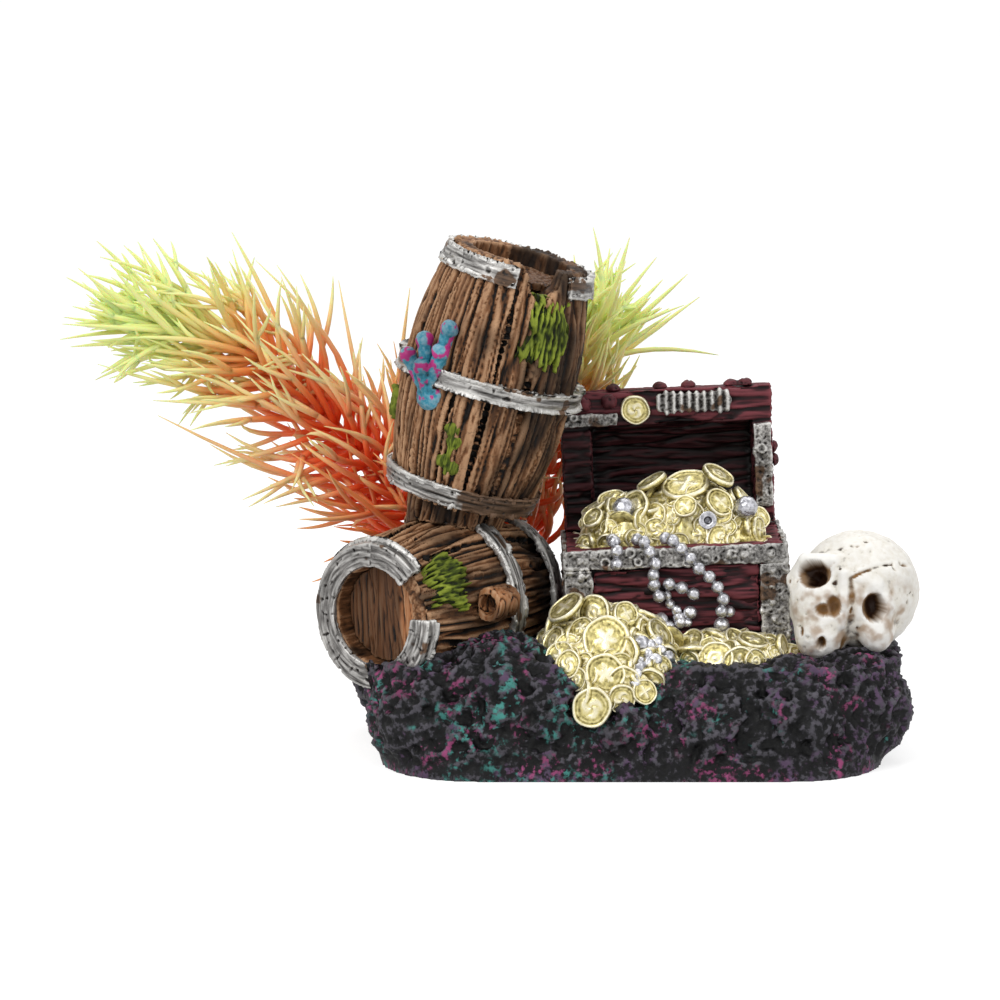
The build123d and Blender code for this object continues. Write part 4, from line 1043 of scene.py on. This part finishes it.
class ORNAMENT_OT_barrels(bpy.types.Operator):
    """Carve the two barrels, their heads and hoops, the stump and the splinter"""

    bl_idname = "ornament.barrels"
    bl_label = "Barrels"

    def execute(self, context):
        values, silver = settings("barrels"), settings("silver")
        oak = painted("barrel_oak", values.dark, values.base, values.crest, 0.7 * MM, ALONG,
                      speckle=0.4, murk=0.1)
        board = painted("barrel_board", values.dark, values.board, values.crest, 0.7 * MM, ALONG,
                        dull=(0.4, 0.6), murk=0.15)
        trim = silver_finish("hoop_silver", ALONG)
        step = 2 * math.pi / values.staves
        both = barrel_axes()

        def flat_grain(points, lie):
            """Shallow grain for the barrels' heads."""
            return wood(lie, 0.5 * values.crack, values.fibre, 7)

        for seed, (barrel, grain) in enumerate(both.items()):
            offsets = np.random.default_rng(seed + 3).uniform(-1, 1, 2 * values.staves)

            def stave(lie, offsets=offsets):
                """The chance number of the stave that each point is on."""
                return offsets[(np.arctan2(lie[:, 2], lie[:, 1]) // step).astype(int) + values.staves]

            def cut(points, lie, stave=stave, seed=seed):
                """Grain along the staves, deepest on their outer side, with each stave in or out a little."""
                straight, outer = without_bulge(lie)
                carving = wood(straight, values.crack, values.fibre, 60 * seed) + values.uneven * stave(lie)
                return carving * (0.2 + 0.8 * outer)

            def tone_and_shade(points, lie, stave=stave, barrel=barrel):
                """Painted shade on the standing barrel's right side, the lying barrel darker towards its far
                end, and blotches of uneven colour.
                """
                if barrel == "lying":
                    away = smooth_step(lie[:, 0], 22 * MM, 36 * MM)
                else:
                    # Painted shade: the standing barrel darkens round towards its right side.
                    away = smooth_step(np.arctan2(lie[:, 2], lie[:, 1]), 0.1, 0.75)
                blotches = layered(lie, np.array((16, 6, 6)) * MM, 3, 8)
                return np.clip(0.85 + 0.25 * stave(lie) + 1.1 * blotches - 0.9 * away, 0, 1)

            def planks(points, lie, barrel=barrel):
                """Dark old planks, with one smooth board to the right of the lying barrel's face."""
                return 0.15 + 0.85 * smooth_step(-lie[:, 2], 3.5 * MM, 4.5 * MM) * (barrel == "lying")

            carve(f"{barrel}_barrel_staves", values.pitch, cut, oak, "barrel_wood", grain, tone_and_shade, rounds=12,
                  depth=0.45 * MM)
            across = (grain[0], (0.0, 0.1, 1.0), grain[1])
            for head in ("front_head", "rear_head") if barrel == "lying" else ("head",):
                carve(f"{barrel}_barrel_{head}", silver.pitch, flat_grain, board, "barrel_wood", across,
                      planks)
            for hoop in ("front", "middle", "rear") if barrel == "lying" else ("bottom", "middle", "top"):
                slim = silver.slim if (barrel, hoop) == ("standing", "middle") else silver.ragged
                messy = 1.2 * MM if (barrel, hoop) == ("lying", "middle") else 0.5 * MM
                bare = bare_right if (barrel, hoop) == ("standing", "bottom") else bare_patches

                def ragged(points, lie, slim=slim, messy=messy):
                    """Grooves along the hoop, and edges that sink away unevenly."""
                    return streaky(lie, silver.dent, 5) - sunk_edges(lie, slim, messy)

                carve(f"{barrel}_barrel_{hoop}_hoop", silver.pitch, ragged, trim, "hoop_silver", grain,
                      bend=wrapped, bare=bare)
        for node, finish, depth, seed in (("barrel_stump", oak, 0.8, 3), ("barrel_splinter", board, 0.4, 4)):

            def splintered(points, lie, depth=depth, seed=seed):
                """Grain with no staves in it."""
                return wood(lie, depth * values.crack, values.fibre, seed)

            carve(node, 0.8 * values.pitch, splintered, finish, "barrel_wood", both["standing"])
        return {"FINISHED"}


def sunk_edges(lie, slim, messy):
    """How far a hoop's two edges sink into the wood to leave it slimmer and ragged."""
    middle, half = np.median(lie[:, 2]), np.ptp(lie[:, 2]) / 2
    edge = np.abs(lie[:, 2] - middle) + messy * noise(lie, 2.2 * MM, 17)
    return 1.7 * MM * smooth_step(edge, half - slim - 0.3 * MM, half - slim + 0.3 * MM)


def silver_finish(name, stretch=PLAIN):
    """The silver paint of hoops and straps, worn to brown in places."""
    values = settings("silver")
    return painted(name, values.dark, values.base, values.crest, 0.5 * MM, stretch, dull=(0.3, 0.55),
                   metal=0.5, speckle=0.3, rough=1.0, worn=values.worn)


class ORNAMENT_OT_growth(bpy.types.Operator):
    """Carve the moss, the leaf sprig and the coral"""

    bl_idname = "ornament.growth"
    bl_label = "Moss and Coral"

    def execute(self, context):
        values = settings("growth")
        moss = painted("moss", values.moss_dark, values.moss, values.moss_crest, 0.4 * MM, ALONG,
                       dull=(0.6, 0.85), murk=0.45, rough=1.4)
        pale_coral = between(values.coral, WHITE, 0.3)
        coral = painted("coral", values.coral_dark, values.coral, pale_coral, 0.8 * MM, dull=(0.3, 0.5),
                        patches=(("tips", values.coral_tip, None),))
        axes = barrel_axes()

        def sprigs(points, lie):
            """Veins on the leaves."""
            return 0.4 * values.tuft * noise(lie, np.array((2.4, 0.8, 0.8)) * MM, 4)

        def tufts(points, lie, barrel):
            """Strands drawn out down the barrel, thinning to a ragged outline that sinks into the wood."""
            strands = noise(lie, np.array((7.0, 0.75, 0.75)) * MM, 4)
            turn = np.arctan2(lie[:, 2], lie[:, 1])
            run, side = (np.abs(part - np.median(part)) / (np.ptp(part) / 2) for part in (lie[:, 0], turn))
            run = run + 0.7 * noise(lie, np.array((30.0, 0.8, 0.8)) * MM, 14)
            side = side + 0.5 * layered(lie, 5 * MM, 2, 15)
            sunk = 2.6 * MM * smooth_step(np.hypot(run**2, side**2), 0.45, 0.95)
            middle, direction = (np.asarray(part) for part in axes[barrel][:2])
            outward = points - middle - np.outer(lie[:, 0], direction / np.linalg.norm(direction))
            outward /= np.linalg.norm(outward, axis=1, keepdims=True)
            height = values.tuft * (0.7 * layered(lie, 2.0 * MM, 2, 2) + 1.3 * strands)
            return outward * (height - sunk)[:, None]

        def knobbly(points, lie):
            """Small knobs."""
            return 0.3 * values.tuft * noise(points, 1.6 * MM, 6)

        def tips(points, lie):
            """Where the magenta is."""
            return smooth_step(layered(points, 2.2 * MM, 3, 12), 0.1, 0.25)

        for node, barrel in (("moss_upper", "standing"), ("moss_side", "standing"), ("moss_lower", "lying")):
            carve(node, values.pitch, lambda points, lie, barrel=barrel: tufts(points, lie, barrel), moss,
                  "moss_green", axes[barrel], rounds=10)
        carve("leaf_sprig", values.pitch, sprigs, moss, "moss_green", axes["standing"], rounds=10)
        carve("coral_polyps", values.pitch, knobbly, coral, "coral_blue", rounds=16, depth=0.5 * MM,
              tips=tips)
        return {"FINISHED"}


class ORNAMENT_OT_chest(bpy.types.Operator):
    """Carve the chest, its lid and their silver trim"""

    bl_idname = "ornament.chest"
    bl_label = "Chest"

    def execute(self, context):
        values, silver = settings("chest"), settings("silver")
        maroon = painted("chest_maroon", values.dark, values.base, values.crest, 0.6 * MM, (9.0, 1.0, 1.0),
                         dull=(0.4, 0.65), murk=0.2)
        middle, axes = own_axes(node_points("chest_front_planks"))
        grain = (middle, axes[0])

        def cut(points, lie):
            """Grain along the chest's boards."""
            return wood(lie, values.crack, values.fibre, 30)

        def inside_shade(node, wall, beam, left):
            """Painted shade inside the walls of a box and under the beam along its top.

            The painted shade starts a wall's thickness in from the right, the back and the bottom, and left is
            the same at the left and the front."""
            low, high = (np.array(corner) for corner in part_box(node))
            low, high = low + (left, left, wall), high - (wall, wall, beam)

            # Painted shade mask: 0.1 inside the walls and under the beam, 0.9 elsewhere.
            def tone_and_shade(points, lie):
                return 0.9 - 0.8 * smooth_step(np.minimum(points - low, high - points).min(axis=1), 0, MM)

            return tone_and_shade

        def all_lit(points, lie):
            """No painted shade anywhere."""
            return np.full(len(points), 0.9)

        # Painted shade masks for the chest's box and lid; the front planks get none.
        painted_shades = {"chest_box": inside_shade("chest_box", 2 * MM, 0, 2 * MM), "chest_front_planks": all_lit,
                 "chest_lid": inside_shade("chest_lid", 2 * MM, 7 * MM, -2 * MM)}
        for node, tone_and_shade in painted_shades.items():
            carve(node, values.pitch, cut, maroon, "chest_wood", grain, tone_and_shade)
        trim = silver_finish("trim_silver")

        def lumpy(points, lie):
            """Dents and small raised rings."""
            rings = ridge(pebbles(points, 3.4 * MM, 8) - 0.27, 0.07)
            rings = rings * smooth_step(noise(points, 7 * MM, 2), -0.1, 0.1)
            return hammered(points, 1.2 * silver.dent, 15) + 1.1 * silver.dent * rings

        def ribbed(points, lie):
            """Ribs across the hasp."""
            ribs = 0.8 * silver.dent * np.cos(lie[:, 0] / (0.26 * MM))
            return ribs + hammered(points, 0.6 * silver.dent, 15)

        def studded(points, lie):
            """Dents in the studs."""
            return hammered(points, silver.dent, 25)

        straps = ("chest_rim_band", "chest_corner_posts", "chest_rivets", "chest_lid_straps")
        for node, shape in (*((strap, lumpy) for strap in straps), ("chest_hasp", ribbed)):
            carve(node, 0.8 * silver.pitch, shape, trim, "trim_silver", grain, bare=bare_patches)
        carve("chest_lid_studs", silver.pitch, studded, maroon, "chest_wood", grain)
        return {"FINISHED"}


# How far along the front and how high each loose bead or nugget lies, in millimetres
LOOSE_BEADS = (
    (6.5, 33.6), (7.7, 33.7), (8.2, 31.8), (9.6, 30.4), (20.6, 30.2), (19.0, 27.4), (11.8, 27.8), (10.0, 29.0),
    (6.4, 28.4), (8.0, 27.0), (4.8, 26.4), (3.0, 24.9), (1.4, 23.6), (4.4, 23.6), (0.6, 21.4), (2.2, 22.0),
    (9.0, 24.8), (10.4, 28.0), (5.6, 25.0), (7.2, 25.2), (12.4, 30.0), (2.8, 23.4), (0.2, 19.8), (3.6, 26.0),
)


class ORNAMENT_OT_treasure(bpy.types.Operator):
    """Make the heap and the spill with their coins, the beads and the nuggets"""

    bl_idname = "ornament.treasure"
    bl_label = "Treasure"

    def execute(self, context):
        values = settings("treasure")
        gold = painted("coin_gold", values.gold_dark, values.gold, values.gold_crest, 0.9 * MM,
                       dull=(0.25, 0.42), metal=0.65, murk=0.75)
        dice = np.random.default_rng(5)

        def crumpled(points, lie):
            """Uneven ground under the coins."""
            return 0.55 * MM * (0.6 - pebbles(points, 3.2 * MM, 2)) + 0.3 * MM * noise(points, 1.4 * MM, 7)

        margin = 4.5 * MM
        rim_low, rim_high = (np.array(corner)[:2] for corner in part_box("chest_rim_band"))

        def in_chest(points):
            """Where a coin stays within the chest's walls."""
            flat = points[:, :2]
            return ((flat > rim_low + margin) & (flat < rim_high - margin)).all(axis=1)

        def above_rock(points):
            """Where a coin stays off the rock's foot."""
            return points[:, 2] > 14 * MM

        def coins(name, places, *nodes):
            """Coins at some places, in one piece, standing for any CAD nodes of theirs."""
            mesh = coin_meshes(name, places, values.thickness, dice)
            show(name, mesh, gold, "coin_gold", CASTING, *nodes)

        mounds = (("heap", "treasure_heap", values.heap, in_chest),
                  ("spill", "coin_spill", values.spill, above_rock))
        for kind, mound, count, allowed in mounds:
            hill = carve(mound, values.pitch, crumpled, gold, "coin_gold", rounds=14, depth=0.5 * MM)
            main = list(coin_places(f"{kind}_coins"))
            extra = scattered(hill.data, count, values, dice, list(main), allowed)
            coins(f"{kind}_main_coins", main, f"{kind}_coins")
            coins(f"{kind}_loose_coins", extra)
        coins("lid_coin_stamped", list(coin_places("lid_coin")), "lid_coin")
        silver = painted("bead_silver", values.bead_dark, values.bead, values.bead_crest, 0.8 * MM,
                         dull=(0.18, 0.35), metal=0.75, murk=0.8)

        def dented(points, lie):
            """Faint dents."""
            return 0.12 * MM * noise(points, 1.1 * MM, 3)

        strands = [f"bead_strand_{name}" for name in ("left", "middle", "right", "cross")]
        for node in (*strands, "silver_balls", "ring_bead", "silver_nuggets"):
            carve(node, values.bead_pitch, dented, silver, "bead_silver", rounds=20, depth=0.8 * MM)
        self.loose_beads(silver, values.bead_size, dice)
        return {"FINISHED"}

    def loose_beads(self, finish, size, dice):
        """Beads and nuggets where the strands run out over the spill."""
        form = bmesh.new()
        ground = surface_tree(("coin_spill", "chest_front_planks"))
        for x, z in LOOSE_BEADS:
            hit = ground.ray_cast(Vector((x * MM, cad_low.y - 0.01, z * MM)), Vector((0, 1, 0)))[0]
            if hit is not None:
                radius = size * dice.uniform(0.75, 1.2)
                middle = hit - Vector((0, 0.5 * radius, 0))
                stretch = Matrix.Diagonal((*dice.uniform(0.85, 1.25, 3), 1.0))
                bmesh.ops.create_icosphere(form, subdivisions=4, radius=radius,
                                           matrix=Matrix.Translation(middle) @ stretch)
        mesh = bpy.data.meshes.new("loose_beads")
        form.to_mesh(mesh)
        form.free()
        points = read(mesh.vertices, "co")
        store(mesh, "relief", 0.75 + 0.3 * noise(points, 1.2 * MM, 6))
        store(mesh, "lie", points)
        store(mesh, "tone_and_shade", np.ones(len(points)))
        show("loose_beads", mesh, finish, "bead_silver", CASTING)


# Where the skull's shape is felt out from, in millimetres round the middle of its braincase
SKULL_HEART = np.array((-3.4, -1.2, -4.0))


class ORNAMENT_OT_skull(bpy.types.Operator):
    """Carve and paint the skull"""

    bl_idname = "ornament.skull"
    bl_label = "Skull"

    def execute(self, context):
        values = settings("skull")
        # The stain is the bone's own brown wash; the dark in the sockets is painted shade.
        stains_and_shade = (("stain", values.wash, None), ("socket_shade", values.dark, None))
        bone = painted("bone", values.dark, values.base, values.crest, 1.2 * MM, dull=(0.35, 0.55),
                       murk=0.9, shift=-0.12, patches=stains_and_shade)
        ball = bpy.data.meshes.new("skull")
        form = bmesh.new()
        bmesh.ops.create_icosphere(form, subdivisions=values.rounds, radius=1.0)
        form.to_mesh(ball)
        form.free()
        ways = read(ball.vertices, "co")
        ways /= np.linalg.norm(ways, axis=1, keepdims=True)
        whole = self.reach(ways, self.bone)
        carved = self.reach(ways, lambda places: np.maximum(self.bone(places), -self.hollows(places)))
        local = ways * carved[:, None] + SKULL_HEART
        pits = smooth_step(noise(local, 1.5, 9), 0.4, 0.55) * smooth_step(noise(local, 6.0, 3), -0.1, 0.3)
        local += ways * (0.2 * layered(local, 2.6, 3, 4) - 0.35 * pits)[:, None]
        c, s = math.cos(values.tilt), math.sin(values.tilt)
        axes = np.array(((1, 0, 0), (0, s, c), (0, -c, s)))
        points = np.clip(local * MM @ axes + np.array(values.middle), cad_low, cad_high)
        ball.vertices.foreach_set("co", points.astype(np.float32).ravel())
        ball.update()
        sunk = whole - carved
        store(ball, "relief", relief(ball, 10, 0.35 * MM))
        store(ball, "lie", points)
        store(ball, "tone_and_shade", np.clip(0.75 + noise(points, 5 * MM, 2), 0, 1))
        blotch = 0.5 * layered(points, 3 * MM, 3, 14)
        face = smooth_step(local[:, 2], 5.0, 9.0) * smooth_step(-local[:, 1], -3.0, 2.0)
        tint = 0.7 * face * smooth_step(blotch, -0.1, 0.35)
        store(ball, "stain", np.maximum(tint, 0.85 * smooth_step(sunk + 0.6 * blotch + 0.3 * pits, 0.1, 0.8)))
        # Painted shade: the dark wash colour deep in the sockets and the other deep cuts, and at one deep spot
        # in a socket.
        deep_hole_shade = np.exp(-((np.linalg.norm(local - np.array((-8.3, 1.9, 5.5)), axis=1) / 1.7) ** 4))
        store(ball, "socket_shade", np.maximum(smooth_step(sunk + blotch, 1.5, 3.0), deep_hole_shade))
        show("carved_skull", ball, bone, "bone", CASTING, "skull")
        return {"FINISHED"}

    def reach(self, ways, solid):
        """How far a solid reaches from its heart along each way, in millimetres."""
        far = np.full(len(ways), 24.0)
        for _ in range(60):
            far -= np.clip(solid(ways * far[:, None] + SKULL_HEART) * 0.7, -0.4, 2.0)
        return far

    def ball(self, places, middle, radii):
        """How far places are outside an ellipsoid, about."""
        share = np.linalg.norm((places - middle) / radii, axis=1)
        return (share - 1) * min(radii)

    def rod(self, places, ends, thin, thick):
        """How far places are outside a bent rod that thickens towards its last end."""
        gap = np.full(len(places), 99.0)
        ends = np.array(ends)
        count = len(ends) - 1
        for index in range(count):
            run = ends[index + 1] - ends[index]
            share = np.clip((places - ends[index]) @ run / (run @ run), 0, 1)
            radius = thin + (thick - thin) * (index + share) / count
            away = np.linalg.norm(places - ends[index] - share[:, None] * run, axis=1)
            gap = np.minimum(gap, away - radius)
        return gap

    def bone(self, places):
        """The bones joined softly: braincase, muzzle, brow, cheekbone and jaw."""
        parts = (
            (self.ball(places, (0.2, -0.5, 0.0), (12.7, 12.7, 12.7)), 1.0),
            (self.ball(places, (-7.4, -3.5, 5.0), (7.2, 8.5, 7.2)), 1.2),
            (self.ball(places, (-8.2, -9.6, 6.5), (5.4, 5.4, 5.6)), 1.5),
            (self.ball(places, (3.2, -8.2, 8.4), (3.8, 5.0, 4.2)), 1.2),
            (self.rod(places, ((-13.2, 2.4, 3.6), (-11.4, 6.0, 6.6), (-6.0, 5.8, 9.2)), 1.6, 1.4), 2.2),
            (self.rod(places, ((-3.9, 3.0, 11.6), (-3.9, -2.5, 12.5), (-4.4, -7.0, 11.2)), 0.8, 1.0), 1.6),
            (self.rod(places, ((-14.0, 2.0, 3.6), (-13.2, -1.2, 6.0), (-7.0, -0.6, 11.4)), 1.0, 0.7), 1.4),
            (self.rod(places, ((-0.6, 2.4, 11.6), (3.2, 0.7, 12.1), (5.4, -3.6, 10.9)), 0.8, 1.0), 2.0),
        )
        joined = parts[0][0]
        for part, soft in parts[1:]:
            mix = np.clip(0.5 + (joined - part) / (2 * soft), 0, 1)
            joined = joined + (part - joined) * mix - soft * mix * (1 - mix)
        return joined

    def hollows(self, places):
        """What is cut away: sockets, nose, groove, crack, a lost tooth and pits."""
        groove = ((-2.4, 2.2, 12.6), (-1.9, -3.5, 12.9), (-2.2, -8.5, 11.4), (-2.8, -13, 8.6))
        crack = ((-2.6, 2.3, 12.6), (1.3, 4.1, 12.0), (4.2, 5.0, 11.0), (10.8, 4.8, 5.6))
        cuts = (
            self.ball(places, (-10.2, 3.2, 10.2), (3.9, 3.0, 5.2)),
            self.ball(places, (-8.6, 1.9, 7.0), (1.7, 1.6, 4.0)),
            self.ball(places, (2.4, -3.8, 12.6), (2.5, 3.1, 4.0)),
            self.ball(places, (-7.9, -4.3, 12.6), (2.2, 1.5, 2.6)),
            self.ball(places, (-6.0, -3.6, 12.8), (1.6, 2.5, 2.8)),
            self.rod(places, groove, 0.6, 1.9),
            self.rod(places, crack, 0.5, 0.3),
            self.ball(places, (-8.4, -11.2, 11.6), (1.0, 1.5, 2.4)),
            self.rod(places, ((-12.2, -9.4, 9.8), (-12.6, -7.6, 10.0)), 0.5, 0.5),
            self.rod(places, ((-5.9, -9.4, 12.4), (-6.1, -8.2, 12.9)), 0.5, 0.5),
            self.rod(places, ((-5.0, 8.0, 9.9), (-6.6, 8.3, 9.0)), 0.9, 0.8),
            self.rod(places, ((4.4, 7.9, 9.2), (6.8, 7.3, 8.6)), 0.5, 0.6),
            self.rod(places, ((7.2, -3.0, 11.6), (8.6, -2.2, 10.6)), 0.7, 0.5),
        )
        return np.minimum.reduce(cuts)


class ORNAMENT_OT_air_line(bpy.types.Operator):
    """Finish the air inlet, its tube and the air stone"""

    bl_idname = "ornament.air_line"
    bl_label = "Air Line"

    def execute(self, context):
        values = settings("air")
        smoky = plastic("smoky_plastic", values.tube, gloss=0.15, clear=0.25)
        for node in ("air_nipple", "air_tube"):
            coat(node, smoky)
        grit = Finish("air_stone_grit")
        grains = grit.noise(0.5 * MM, 2.0)
        grit.feed(grit.surface, "Base Color", grit.ramp(grains, (0.35, between(values.grit, BLACK, 0.7)),
                                                        (0.6, values.grit)))
        grit.feed(grit.surface, "Roughness", grit.span(grains, 0.3, 0.7, 0.7, 0.95))
        grit.bump(grains, 0.3 * MM)
        coat("air_stone", grit.material)
        return {"FINISHED"}


def coat(node, material):
    """Gives a CAD node that stays in sight its material."""
    slots = frame["nodes"][node].data.materials
    slots.clear()
    slots.append(material)


# Sizes that a leaf is tried at until it stays clear of the casting
SHRINKS = (1.0, 0.85, 0.7, 0.55, 0.4)


class ORNAMENT_OT_plants(bpy.types.Operator):
    """Grow the two plastic plants on their stems"""

    bl_idname = "ornament.plants"
    bl_label = "Plants"

    def execute(self, context):
        values = settings("plants")
        leaf_finish = plastic("leaf_plastic", None, gloss=0.32, soft=0.4)
        stalk = plastic("stem_plastic", values.stem, gloss=0.35)
        plug = plastic("plug_plastic", values.plug, gloss=0.4)
        middle_x = sum(sum(corner.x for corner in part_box(f"{side}_plant_plug")) / 2 for side in SIDES) / 2
        casting = surface_tree(frame["record"]["behaviour"]["bodies"][CASTING])
        for seed, side in enumerate(SIDES):
            dice = np.random.default_rng(seed + 20)
            start = np.array(next(j["pos_m"] for j in frame["joints"] if j["name"] == f"{side}_plant_turn"))
            stem, lengths = centreline(f"{side}_plant_stem", values.pitch, start)
            grown, filled = [], set()
            for shrink in SHRINKS:
                found = leaf_paths(stem, lengths, values, dice, shrink, filled)
                if not found:
                    break
                lines = np.array([leaf[0] for leaf in found])
                good = clear_leaves(lines, side, values.clearance, middle_x, casting)
                spoilt = {leaf[4] for leaf, fits in zip(found, good) if not fits}
                grown += [leaf for leaf in found if leaf[4] not in spoilt]
                filled |= {leaf[4] for leaf in found} - spoilt
            paths, ages, shares, widths = (np.array(part) for part in list(zip(*grown))[:4])
            radii = values.thickness / 2 * widths[:, None] * (1 - 0.2 * shares - 0.7 * shares**5)
            mesh = tubes(f"{side}_leaves", paths, radii, leaf_tints(ages, shares, values))
            show(f"{side}_plant_foliage", mesh, leaf_finish, "plant_plastic", f"{side}_plant",
                 f"{side}_plant_leaves")
            coat(f"{side}_plant_stem", stalk)
            coat(f"{side}_plant_plug", plug)
        return {"FINISHED"}


class ORNAMENT_PT_pieces(bpy.types.Panel):
    """Lists the ornament's pieces in the sidebar"""

    bl_idname = "ORNAMENT_PT_pieces"
    bl_label = "Bubbling Ornament"
    bl_space_type = "VIEW_3D"
    bl_region_type = "UI"
    bl_category = "Ornament"

    def draw(self, context):
        for operator in OPERATORS:
            self.layout.operator(operator.bl_idname)


OPERATORS = (
    ORNAMENT_OT_stage,
    ORNAMENT_OT_rock,
    ORNAMENT_OT_barrels,
    ORNAMENT_OT_growth,
    ORNAMENT_OT_chest,
    ORNAMENT_OT_treasure,
    ORNAMENT_OT_skull,
    ORNAMENT_OT_air_line,
    ORNAMENT_OT_plants,
)


def register():
    """Adds the settings, the operators and the panel to Blender."""
    for group, kind in SETTINGS.items():
        bpy.utils.register_class(kind)
        setattr(bpy.types.Scene, "ornament_" + group, PointerProperty(type=kind))
    for kind in (*OPERATORS, ORNAMENT_PT_pieces):
        bpy.utils.register_class(kind)


def unregister():
    """Takes them out again."""
    for kind in (ORNAMENT_PT_pieces, *reversed(OPERATORS)):
        bpy.utils.unregister_class(kind)
    for group, kind in SETTINGS.items():
        delattr(bpy.types.Scene, "ornament_" + group)
        bpy.utils.unregister_class(kind)


def main():
    """Builds the scene."""
    register()
    bpy.ops.ornament.stage()
    bpy.ops.ornament.rock()
    bpy.ops.ornament.barrels()
    bpy.ops.ornament.growth()
    bpy.ops.ornament.chest()
    bpy.ops.ornament.treasure()
    bpy.ops.ornament.skull()
    bpy.ops.ornament.air_line()
    bpy.ops.ornament.plants()
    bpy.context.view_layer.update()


if __name__ == "__main__":
    main()
